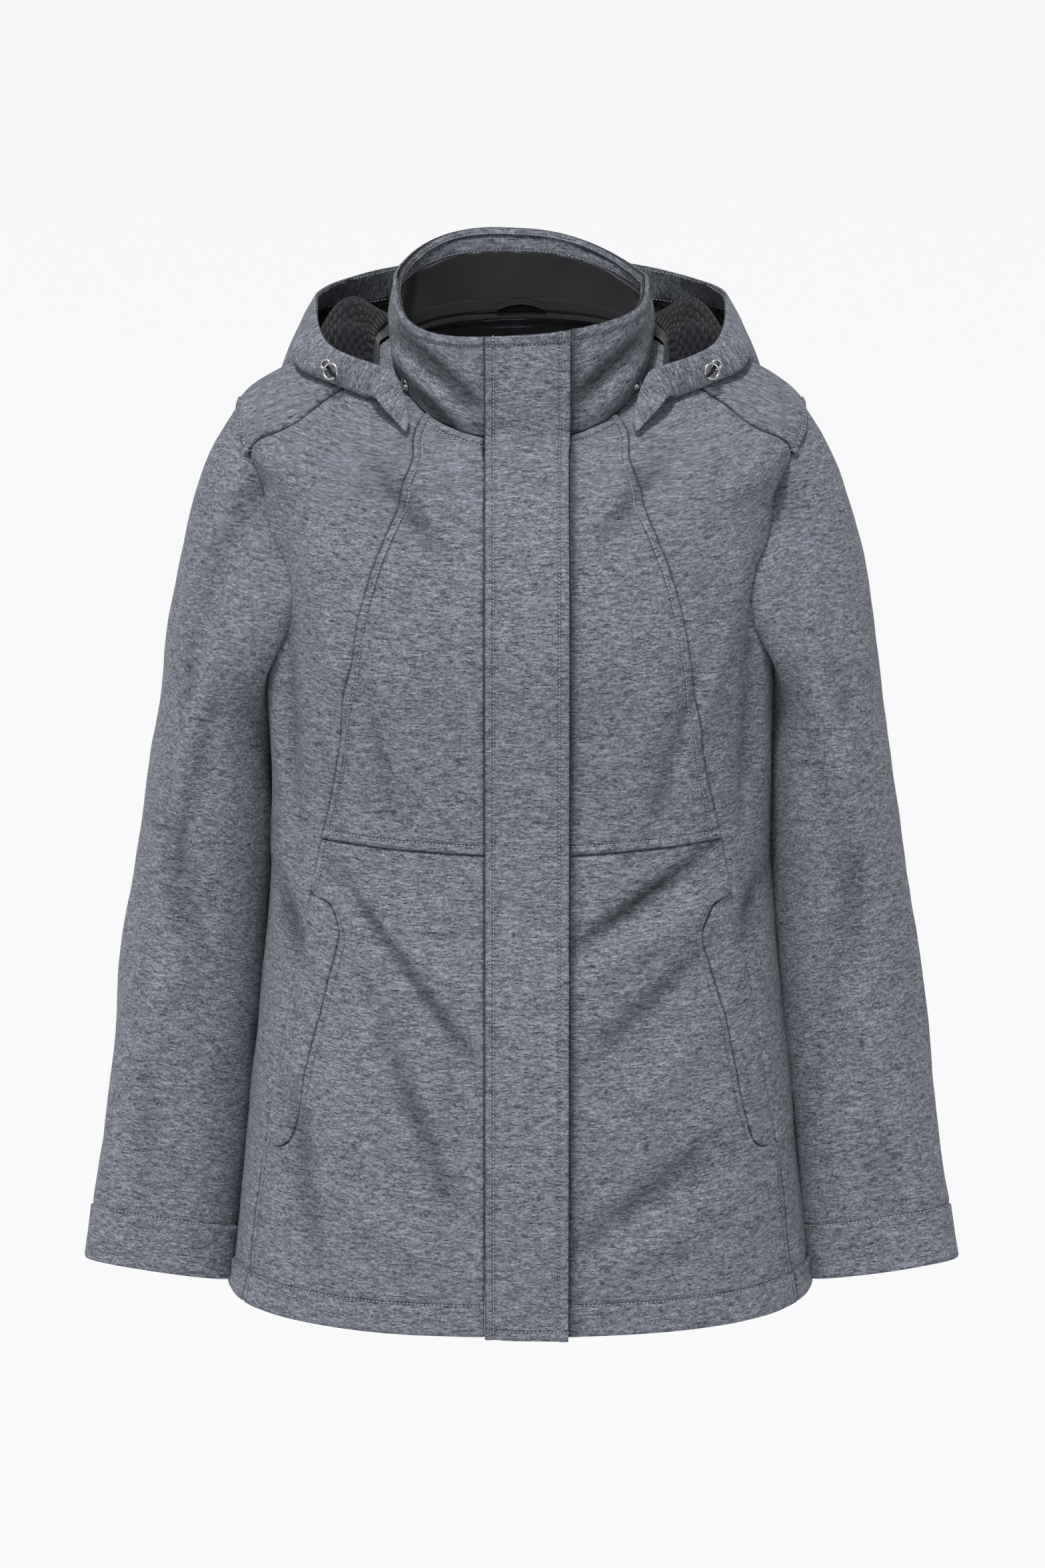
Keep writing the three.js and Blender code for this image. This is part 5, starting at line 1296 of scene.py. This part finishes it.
def make_sleeves(seams):
    """Each sleeve is sewn shut along the underarm, which is where its two side borders meet."""
    half = OVER_SHOULDER_CELLS // 2
    front = joined(seams["over"][: half + 1][::-1], seams["armhole_front"][::-1])
    back = joined(seams["over"][half:], seams["armhole_back"][::-1])
    angles, places = [], []
    for run, side in ((front, 1), (back, -1)):
        fine = upsampled_run(run)
        reach = lengths_along(skin(BODY_RINGS, fine[:, 0], fine[:, 1]))
        angles.append(side * np.pi * reach / reach[-1])
        places.append(fine)
    angle_key = np.concatenate([angles[1][::-1], angles[0][1:]])
    place_key = np.concatenate([places[1][::-1], places[0][1:]])

    def surface(grid, side=1):
        angle, s = grid[..., 0], grid[..., 1]
        turn, at = (np.interp(angle, angle_key, place_key[:, k]) for k in (0, 1))
        tuck = np.interp(at, TUCK_EASES, (ARMPIT_TUCK, SHOULDER_TUCK))
        start = skin(BODY_RINGS, turn, at, -tuck, side) * MIRRORS[side]
        around = np.mod(angle, 2 * np.pi)
        cap = sleeve_cap(start, around, np.clip(s, 0, 1), side)
        tube = sleeve_tube(around, np.clip(s - 1, 0, 1), side)
        return np.where(s[..., None] < 1, cap, tube)

    borders = {"left": "plain", "right": "plain", "bottom": "cuff", "top": "tucked"}
    dense = np.stack(np.meshgrid(np.linspace(-np.pi, np.pi, 220), np.linspace(2, 0, 200)), -1)
    dense[:, 0, 0] += UNDERARM_SLIT
    dense[:, -1, 0] -= UNDERARM_SLIT
    grid, away = fine_grid(surface, dense, borders)
    for side, name in pair("sleeve").items():
        base = surface(grid, side) * MIRRORS[side]
        normals = grid_normals(base, (side, 0, 0))
        relief = cloth_unevenness(base) + border_relief(base, away, borders)
        flat = flat_by_distance(base) * [side, 1]
        # Painted shade in the troughs of the sleeve's creases, at less than their height.
        dips = 0.4 * sleeve_crease_height(np.mod(grid[..., 0], 2 * np.pi), grid[..., 1] - 1, side)
        outer, cloths = base + normals * relief[..., None], [knit, backing]
        sew(name, outer, normals, away, borders, flat, cloths, group="sleeves", dips=dips)


def upsampled_run(run, times=8):
    return upsampled(np.repeat(run[:, None], 2, 1), times)[:, 0]


# The storm flap and the zip behind it.
def centre_point(x, at, out):
    """Points over the centre front, rounded where the body turns up into the collar."""
    bend = 0.06
    soften = np.maximum(bend - np.abs(at - 1), 0)
    total = 0.0
    for sample in (-1, -0.5, 0, 0.5, 1):
        place = np.minimum(at + sample * soften, 2)
        low, high = np.minimum(place, 1), np.maximum(place, 1)
        body = skin(BODY_RINGS, turn_at_x(BODY_RINGS, x, low), low, out)
        collar = skin(COLLAR_RINGS, turn_at_x(COLLAR_RINGS, x, high), high, out)
        total = total + np.where((place > 1)[..., None], collar, body)
    return total / 5


def centre_rows(low, high, count):
    """Evenly spaced rows up the centre front; the collar is shorter than the body."""
    return np.interp(np.linspace(0, 1, count), [0, 0.9, 1.0], [low, 1.0, high])


def make_storm_flap():
    """The flap: sewn along its left border, its right edge folded and lying over the other front."""
    borders = {"left": "stitched", "right": "rim", "bottom": "rim", "top": "rim"}
    xs = np.linspace(FLAP_SEAM_X + 0.15, FLAP_EDGE_X, 60)
    below_hem = -2 / BODY_RISE
    dense = np.stack(np.meshgrid(xs, centre_rows(below_hem, 2.0, 600)), -1)
    grid, away = fine_grid(lambda g: centre_point(g[..., 0], g[..., 1], 0.0), dense, borders)
    x, at = grid[..., 0], grid[..., 1]
    over, full_height_at = (x - FLAP_SEAM_X) / (FLAP_EDGE_X - FLAP_SEAM_X), 0.42
    raised = eased(np.clip(over / full_height_at, 0, 1))
    lift = FLAP_THICK + 0.6 + FLAP_SPRING * np.clip(over, 0, 1) ** 3
    base = centre_point(x, at, raised * lift)
    relief = 0.5 * cloth_unevenness(base) + border_relief(base, away, borders)
    normals = grid_normals(base, (0, -1, 0))
    outer = base + normals * relief[..., None]
    thick = CLOTH + raised * (FLAP_THICK - CLOTH)
    inner = base - normals * thick[..., None]
    edge = np.minimum(away["right"], np.minimum(away["bottom"], away["top"]))
    inner += normals * (0.9 * fall(edge, 2.2))[..., None]
    uvs = np.stack([x / 1000, away["bottom"] / 1000], -1)
    shade = painted_fold_shade(base, away, borders)
    piece = make_wall("storm_flap_cloth", outer, inner, uvs, [knit, backing], shade)
    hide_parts("storm_flap")
    note_stitches("body", outer, normals, borders)


# The collar and its layers.
def collar_surface(grid):
    return ring_point(COLLAR_RINGS, grid[..., 0], grid[..., 1])


def collar_layer(name, low, high, under, borders, material, slot, shares=(0.0, 1.0), cell=3.6):
    """A layer of the stand collar, from its free front edge round the back to the flap's seam. "under" is
    how far its hidden face lies inside the shell's outer face, or 0 for the shell itself. The shell gets
    painted shade towards its foot, and the lining has loose folds between its foot and its head."""
    ats = np.linspace(low, high, 40)
    left = turn_at_x(COLLAR_RINGS, FRONT_EDGE_X, ats)
    right = 2 * np.pi + turn_at_x(COLLAR_RINGS, FLAP_SEAM_X, ats)
    turn = left[:, None] + (right - left)[:, None] * np.linspace(*shares, 400)
    dense = np.stack([turn, np.repeat(ats[:, None], 400, 1)], -1)
    grid, away = fine_grid(collar_surface, dense, borders, cell)
    base = collar_surface(grid)
    creases = collar_crease_height(base, grid[..., 0])
    relief = border_relief(base, away, borders) + 0.4 * cloth_unevenness(base)
    normals = ring_normal(COLLAR_RINGS, grid[..., 0], grid[..., 1])
    uvs = collar_pattern.flat(grid)
    if not under:
        outer = base + normals * (relief + creases)[..., None]
        # Painted shade: darker towards the collar's foot, doubled in the troughs of its creases, and the
        # painted shadow beside the storm flap.
        painted_foot_shade = 4 * np.exp(-away["bottom"] / 30)
        dips = 2 * creases - painted_foot_shade + painted_flap_shadow(base, grid[..., 0])
        sew(name, outer, normals, away, borders, uvs, [knit, backing], group="collar", dips=dips)
        return
    back = base + normals * (creases - under)[..., None]
    if slot == "dark_lining":
        between_ends = fall(fall(away["bottom"], away["bottom"].max()), 1)
        upright = [1, 1, 0.4]
        relief = relief + LINING_FOLD * between_ends * (1 + noise(base * upright, 60, 21))
    face = back - normals * (THIN_CLOTH + relief)[..., None]
    piece = make_wall(f"{name}_cloth", back, face, uvs, [material], painted_fold_shade(base, away, borders))
    note_stitches("collar", face, -normals, borders)
    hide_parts(name)


def make_collar():
    inside = CLOTH + LAYER_GAP
    band_foot = 2 - COLLAR_BAND
    shell = {"left": "plain", "right": "plain", "bottom": "tucked", "top": "rim"}
    collar_layer("collar", COLLAR_FROM, 2.0, 0, shell, knit, "knit_shell")
    behind_edge = (2 / 36, 1.0)
    facing = {"left": "plain", "right": "plain", "bottom": "fine", "top": "stitched"}
    collar_layer("collar_band", band_foot, 2.0, inside, facing, knit, "knit_shell", behind_edge)
    plain = {name: "tucked" for name in BORDERS}
    collar_layer(
        "collar_lining", LINING_FROM, band_foot, inside, plain, collar_cloth, "dark_lining", behind_edge
    )
    over = inside + THIN_CLOTH + LAYER_GAP
    free = {name: "free" for name in BORDERS}
    back_half = (0.25, 0.75)
    collar_layer("neck_tape", TAPE_FROM, TAPE_TO, over, free, tape_cloth, "dark_tape", back_half, 2.5)


# The hood.
def hood_sections(headings):
    """Lines over the hood's outer face: from the neck over the shoulder to its foot, round a roll of
    cloth there, then up to the rim."""
    start = 0.99
    lines = []
    for heading in headings:
        size = HOOD_SECTIONS.at(heading)
        turn, foot = math.radians(heading), size["foot"]
        t = np.linspace(0, 1, 40)
        puff = size["puff"] * np.sin(np.pi * t**0.7) ** HOOD_PEAK
        inner = skin(BODY_RINGS, turn, start + (foot - start) * t, HOOD_CLEAR + puff)
        last, normal = inner[-1], ring_normal(BODY_RINGS, turn, foot)
        above_foot = skin(BODY_RINGS, turn, foot + 0.01, HOOD_CLEAR)
        down = unit(skin(BODY_RINGS, turn, foot, HOOD_CLEAR) - above_foot)
        rim = np.array([size["rimX"], size["rimY"], size["rimZ"]])
        roll = size["roll"]
        low = last + down * roll + normal * 0.3 * roll
        turned = last + down * 1.35 * roll + normal * 1.3 * roll
        outwards = np.array([math.sin(turn), -math.cos(turn), 0])
        middle = (turned + rim) / 2 + outwards * size["bulge"]
        lines.append(joined(inner, smooth_line([last, low, turned, middle, rim], 80)))
    return np.array(lines)


def make_hood():
    """Each half: the shell, the band inside its rim and the quilted lining."""
    dense = hood_sections(np.linspace(HOOD_FRONT, HOOD_MIDDLE, 130))
    borders = {"left": "tucked", "right": "free", "bottom": "open", "top": "plain"}
    grid, away = fine_grid(lambda g: g, dense, borders)
    for side, name in pair("hood").items():
        base = grid * MIRRORS[side]
        normals = hood_normals(base)
        relief = border_relief(base, away, borders) + 0.6 * cloth_unevenness(base)
        flat = flat_by_distance(grid, grid.shape[1] - 1) * [side, 1]
        outer = base + normals * relief[..., None]
        sew(name, outer, normals, away, borders, flat, [knit, backing], group="hood")
    band = {"left": "fine", "right": "fine", "bottom": "open", "top": "plain"}
    inner = {name: "tucked" for name in BORDERS}
    hood_layer("hood_band", dense, lambda reach: (reach - HOOD_BAND, reach), band, knit)
    behind_strap = dense[20:]
    hood_layer(
        "hood_lining",
        behind_strap,
        lambda reach: (0.06 * reach, reach - HOOD_BAND - 1),
        inner,
        quilt,
    )


def hood_normals(points):
    """Normals that point to the back near the hood's rim, so out of its outer face."""
    normals = grid_normals(points, (0, 1, 0))
    near_back, near_rim = int(points.shape[0] * 0.8), points.shape[1] - 4
    return normals * np.sign(normals[near_back, near_rim, 1])


def hood_layer(stem, sections, ends, borders, material):
    """A layer inside the hood, between two distances along each of its sections."""
    lines = []
    for line, reach in zip(sections, lengths_along(sections, 1)):
        wanted = np.linspace(*ends(reach[-1]), 60)
        lines.append(np.stack([np.interp(wanted, reach, line[:, k]) for k in range(3)], -1))
    grid, away = fine_grid(lambda g: g, np.array(lines), borders)
    flat = flat_by_distance(grid, grid.shape[1] - 1, even=True)
    for side, name in pair(stem).items():
        base = grid * MIRRORS[side]
        normals = hood_normals(base)
        relief = border_relief(base, away, borders) + 0.3 * cloth_unevenness(base)
        back = base - normals * (CLOTH + LAYER_GAP)
        face = back - normals * (THIN_CLOTH + relief)[..., None]
        shade = painted_fold_shade(base, away, borders)
        piece = make_wall(f"{name}_cloth", back, face, flat * [side, 1], [material], shade)
        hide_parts(name)
        note_stitches("hood", face, -normals, borders)


def make_hood_tabs():
    """The strap ends of the hood, beside the collar."""
    root = hood_sections([HOOD_FRONT])[0]
    reach = lengths_along(root)
    low = [np.interp(TAB_ROOT * reach[-1], reach, root[:, k]) for k in range(3)]
    table = Sizes("at lowX lowY lowZ upX upY upZ", (0.0, *low, *root[-1]), *HOOD_TAB)
    at = np.linspace(-0.03, 1, 60)
    edges = list(table.at(at).values())
    lower, upper = np.stack(edges[:3], -1), np.stack(edges[3:], -1)
    share = np.linspace(0, 1, 20)[None, :, None]
    dense = lower[:, None] * (1 - share) + upper[:, None] * share
    curve = np.interp(np.linspace(TAB_ROOT, 1, 20) * reach[-1], reach, np.arange(len(reach)))
    section = np.stack([np.interp(curve, np.arange(len(reach)), root[:, k]) for k in range(3)], -1)
    chord = section[0] + (section[-1] - section[0]) * share[0]
    dense += (section - chord)[None] * np.clip(1 - at / 0.5, 0, 1.2)[:, None, None] ** 1.5
    borders = {"left": "free", "right": "free", "bottom": "open", "top": "free"}
    grid, away = fine_grid(lambda g: g, dense, borders, 2.0)
    for side, name in pair("hood_tab").items():
        base = grid * MIRRORS[side]
        normals = grid_normals(base, (0, -1, 0))
        outer = base + normals * (0.7 * border_relief(base, away, borders))[..., None]
        sew(name, outer, normals, away, borders, flat_by_distance(base), [knit], TAB_THICK)


# Metal and cord trim.
def make_turned(name, profile, place, normal, material, slot, segments=48):
    """A piece turned round the axis "normal" from a closed outline of (radius, height)."""
    normal = unit(np.asarray(normal, float))
    side = unit(np.cross(normal, (0.3, 0.2, 0.9)))
    other = np.cross(normal, side)
    angle = np.linspace(0, 2 * np.pi, segments, endpoint=False)[:, None, None]
    ring = np.cos(angle) * side + np.sin(angle) * other
    outline = np.array(profile, float)
    points = np.asarray(place) + outline[None, :, :1] * ring + outline[None, :, 1:] * normal
    count = len(outline)
    ids = np.arange(segments * count).reshape(segments, count)
    after = np.roll(ids, -1, 0)
    beside = np.roll(ids, -1, 1)
    corner = np.roll(after, -1, 1)
    faces = np.stack([ids, after, corner, beside], -1).reshape(-1, 4)
    points = points.reshape(-1, 3)
    faces = facing_out(points, faces)
    uvs = np.zeros((len(points), 2))
    return make_mesh(name, points, faces, uvs, [material], np.zeros(len(faces)))


def round_outline(radius, height, wire, flat=1.0, count=14):
    """The outline of a ring's wire."""
    angle = np.linspace(0, 2 * np.pi, count, endpoint=False)
    return [(radius + wire * math.cos(a), height + flat * wire * math.sin(a)) for a in angle]


def make_tube(name, line, radius, material, sides=14):
    """A cord along a line, closed at both ends."""
    line = np.asarray(line, float)
    along = unit(np.gradient(line, axis=0))
    side = unit(np.cross(along, (0.2, 0.9, 0.3)))
    other = np.cross(along, side)
    ends = np.clip(np.minimum(lengths_along(line), lengths_along(line[::-1])[::-1]) / radius, 0, 1)
    wide = radius * np.sqrt(np.clip(1 - (1 - ends) ** 2, 0.01, 1))
    angle = np.linspace(0, 2 * np.pi, sides, endpoint=False)
    ring = np.cos(angle)[None, :, None] * side[:, None] + np.sin(angle)[None, :, None] * other[:, None]
    points = line[:, None] + wide[:, None, None] * ring
    ids = np.arange(points.shape[0] * sides).reshape(-1, sides)
    ids = np.concatenate([ids, ids[:, :1]], 1)
    faces = np.stack([ids[:-1, :-1], ids[:-1, 1:], ids[1:, 1:], ids[1:, :-1]], -1).reshape(-1, 4)
    reach = lengths_along(line)[:, None] + np.zeros(sides)
    uvs = np.stack([reach, radius * np.broadcast_to(angle, reach.shape)], -1).reshape(-1, 2) / 1000
    points = points.reshape(-1, 3)
    faces = facing_out(points, faces, line[len(line) // 2])
    piece = make_mesh(name, points, faces, uvs, [material], np.zeros(len(faces)))
    close_ends(piece.data)
    return piece


def close_ends(mesh):
    shape = bmesh.new()
    shape.from_mesh(mesh)
    bmesh.ops.holes_fill(shape, edges=[edge for edge in shape.edges if edge.is_boundary])
    shape.to_mesh(mesh)
    shape.free()


def make_trim():
    """Eyelets, cord rings and the elastic between them near the hood's front ends, and the press studs."""
    foot = 39
    steps = []
    for line in hood_sections(np.linspace(HOOD_FRONT, 180 - 0.15, 18)[:5]):
        inner = line[np.round(np.linspace(0, 1, 5) * foot).astype(int)]
        outer = respaced(line[foot:], lengths_along(line[foot:]), 7)
        steps.append(joined(inner, outer))
    grid = np.array(steps)
    normals = grid_normals(grid, (0, 0, 1))
    point, normal = grid[2, 8], normals[2, 8] * np.sign(normals[2, 8, 2])
    forwards = unit(grid[1, 7] - point)

    def out(along, up):
        return point + forwards * along + normal * up

    cord_path = [(0, 1.8), (2, 3.6), (5, 4.2), (8.5, 6), (11, 9), (14, 10.7), (18, 10.7)]
    cord = smooth_line([out(along, up) for along, up in cord_path], 40)
    stud_turn = math.radians(60)
    stud = skin(COLLAR_RINGS, stud_turn, STUD_AT, LAYER_GAP)
    stud_normal = ring_normal(COLLAR_RINGS, stud_turn, STUD_AT)
    stud_outline = [(0.05, 0), (5, 0), (5.1, 0.5), (4.8, 1), (3.4, 1.2), (3.2, 2), (2.6, 2.25), (0.05, 2.3)]
    eyelet_outline = round_outline(EYELET_RADIUS, 0, 0.95, 0.7)
    ring_outline = round_outline(CORD_RING_RADIUS, 0, 1.0)
    metal = (nickel, "polished_metal")
    for end, mirror in (("left", MIRRORS[1]), ("right", MIRRORS[-1])):
        out_of_hood, out_of_collar = normal * mirror, stud_normal * mirror
        eyelet_place, ring_place = out(0, 1.1) * mirror, out(10, 7.5) * mirror
        eyelet = make_turned(f"eyelet_ring_{end}", eyelet_outline, eyelet_place, out_of_hood, *metal)
        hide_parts(f"eyelet_{end}")
        ring = make_turned(f"cord_ring_metal_{end}", ring_outline, ring_place, out_of_hood, *metal)
        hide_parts(f"cord_ring_{end}")
        loop = make_tube(f"elastic_loop_{end}", cord * mirror, ELASTIC_RADIUS, elastic)
        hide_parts(f"cord_loop_{end}")
        press = make_turned(f"press_stud_{end}", stud_outline, stud * mirror, out_of_collar, *metal, 36)
        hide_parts(f"snap_{end}")


def make_hanger():
    """The small loop at the back of the neck."""
    out = -CLOTH - THIN_CLOTH - 0.8 - 3 * LAYER_GAP
    t = np.linspace(0, 1, 50)
    arch = np.sin(np.pi * t)
    low = HANGER_AT + 4 * arch / COLLAR_RISE
    at = low[:, None] + np.linspace(0, HANGER_TAPE / COLLAR_RISE, 8)
    turn = turn_at_x(COLLAR_RINGS, (HANGER_WIDTH * (t - 0.5))[:, None], at, "back")
    face = skin(COLLAR_RINGS, turn, at, out - 2 * arch[:, None] - 1.2)
    back = skin(COLLAR_RINGS, turn, at, out - 2 * arch[:, None])
    piece = make_wall("hanger_tape", back, face, flat_by_distance(back), [tape_cloth])
    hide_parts("hanger_loop")


def make_zip():
    """The closed zip behind the flap: its woven tape and two rows of moulded teeth."""
    below = -CLOTH - 2 * LAYER_GAP
    xs, ats = np.meshgrid(np.linspace(*ZIP_TAPE, 14), centre_rows(0.003, 1.96, 240))

    def layer(x, out):
        at = ats[:, : x.shape[1]]
        low, high = np.minimum(at, 1), np.maximum(at, 1)
        body = skin(BODY_RINGS, turn_at_x(BODY_RINGS, x, low), low, out)
        collar = skin(COLLAR_RINGS, turn_at_x(COLLAR_RINGS, x, high), high, out)
        return np.where(at[..., None] > 1, collar, body)

    front, back = layer(xs, below), layer(xs, below - 0.8)
    uvs = np.stack([xs, lengths_along(front, 0)], -1) / 1000
    tape = make_wall("zip_cloth", front, back, uvs, [tape_cloth])
    middle = sum(ZIP_TAPE) / 2
    lines = []
    for offset in (-0.75, 0.75):
        line = layer(np.full((len(ats), 1), middle + offset), below - 1.4)[:, 0]
        lines.append(respaced(line, lengths_along(line), 900)[(0 if offset < 0 else 1) :])
    made_along("zip_teeth", lines, acetal, ZIP_PITCH, (0.5, 0.62, 0.6), "cube")
    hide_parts("zip")


# Topstitches and zip teeth, one after another along lines.
def make_row_tree(shape):
    """Geometry Nodes that set a small shape along each line, turned to run with it."""
    tree = bpy.data.node_groups.new(f"row_of_{shape}s", "GeometryNodeTree")
    for kind, side, label in (
        ("Geometry", "INPUT", "Lines"),
        ("Float", "INPUT", "Pitch"),
        ("Vector", "INPUT", "Half size"),
        ("Material", "INPUT", "Material"),
        ("Geometry", "OUTPUT", "Row"),
    ):
        tree.interface.new_socket(label, in_out=side, socket_type=f"NodeSocket{kind}")
    given = node(tree, "NodeGroupInput").outputs
    curve = node(tree, "GeometryNodeMeshToCurve", {"Mesh": given["Lines"]})
    spaced = {"Curve": curve, "Length": given["Pitch"]}
    even = node(tree, "GeometryNodeResampleCurve", spaced, mode="LENGTH")
    tangent = node(tree, "GeometryNodeInputTangent")
    turned = node(tree, "FunctionNodeAlignRotationToVector", {"Vector": tangent}, axis="X")
    if shape == "stitch":
        one = node(tree, "GeometryNodeMeshIcoSphere", {"Radius": 1.0, "Subdivisions": 1})
    else:
        one = node(tree, "GeometryNodeMeshCube", {"Size": (2, 2, 2)})
    placing = {"Points": even, "Instance": one, "Rotation": turned, "Scale": given["Half size"]}
    placed = node(tree, "GeometryNodeInstanceOnPoints", placing)
    real = node(tree, "GeometryNodeRealizeInstances", {"Geometry": placed})
    smooth = node(tree, "GeometryNodeSetShadeSmooth", (real,))
    coloured = node(tree, "GeometryNodeSetMaterial", {"Geometry": smooth, "Material": given["Material"]})
    node(tree, "NodeGroupOutput", {"Row": coloured})
    return tree


def set_input(modifier, label, value):
    """Sets a Geometry Nodes input by the identifier of its socket."""
    for socket in modifier.node_group.interface.items_tree:
        if socket.item_type == "SOCKET" and socket.in_out == "INPUT" and socket.name == label:
            modifier[socket.identifier] = value


def made_along(name, lines, material, pitch, half_size, shape):
    """A plain piece of small shapes along lines; half_size holds shares of the pitch and millimetres."""
    points = np.concatenate(lines) / 1000
    ends = set(np.cumsum([len(line) for line in lines]).tolist())
    edges = [(i, i + 1) for i in range(len(points) - 1) if i + 1 not in ends]
    mesh = bpy.data.meshes.new(f"lines_{name}")
    mesh.from_pydata(points.tolist(), edges, [])
    holder = bpy.data.objects.new(f"lines_{name}", mesh)
    bpy.context.scene.collection.objects.link(holder)
    modifier = holder.modifiers.new("row", "NODES")
    modifier.node_group = make_row_tree(shape)
    set_input(modifier, "Pitch", pitch / 1000)
    along, wide, high = half_size
    set_input(modifier, "Half size", (along * pitch / 1000, wide / 1000, high / 1000))
    set_input(modifier, "Material", material)
    graph = bpy.context.evaluated_depsgraph_get()
    row = bpy.data.meshes.new_from_object(holder.evaluated_get(graph), depsgraph=graph)
    row.name = name
    holder.modifiers.clear()
    bpy.data.objects.remove(holder)
    return add_piece(name, row)


def make_stitches():
    half_size = (0.42, 0.33, 0.3)
    for group, lines in stitch_lines.items():
        name = f"topstitches_{group}"
        made_along(name, lines, thread, STITCH_LENGTH, half_size, "stitch")


# The jacket.
seams = make_seams()
make_body(seams)
make_sleeves(seams)
make_storm_flap()
make_collar()
make_hood()
make_hood_tabs()
make_trim()
make_hanger()
make_zip()
make_stitches()

# The picture: pale paper and two soft lights over an even studio.
bpy.context.scene.view_settings.view_transform = "Standard"
make_camera()
make_floor()
make_sun("key", (-0.14, -0.46, 0.88), 2.35, 8)
make_sun("softbox", (-0.3, -0.6, 0.8), 0.62, 60)
make_world("#f6f6f8", 0.38)
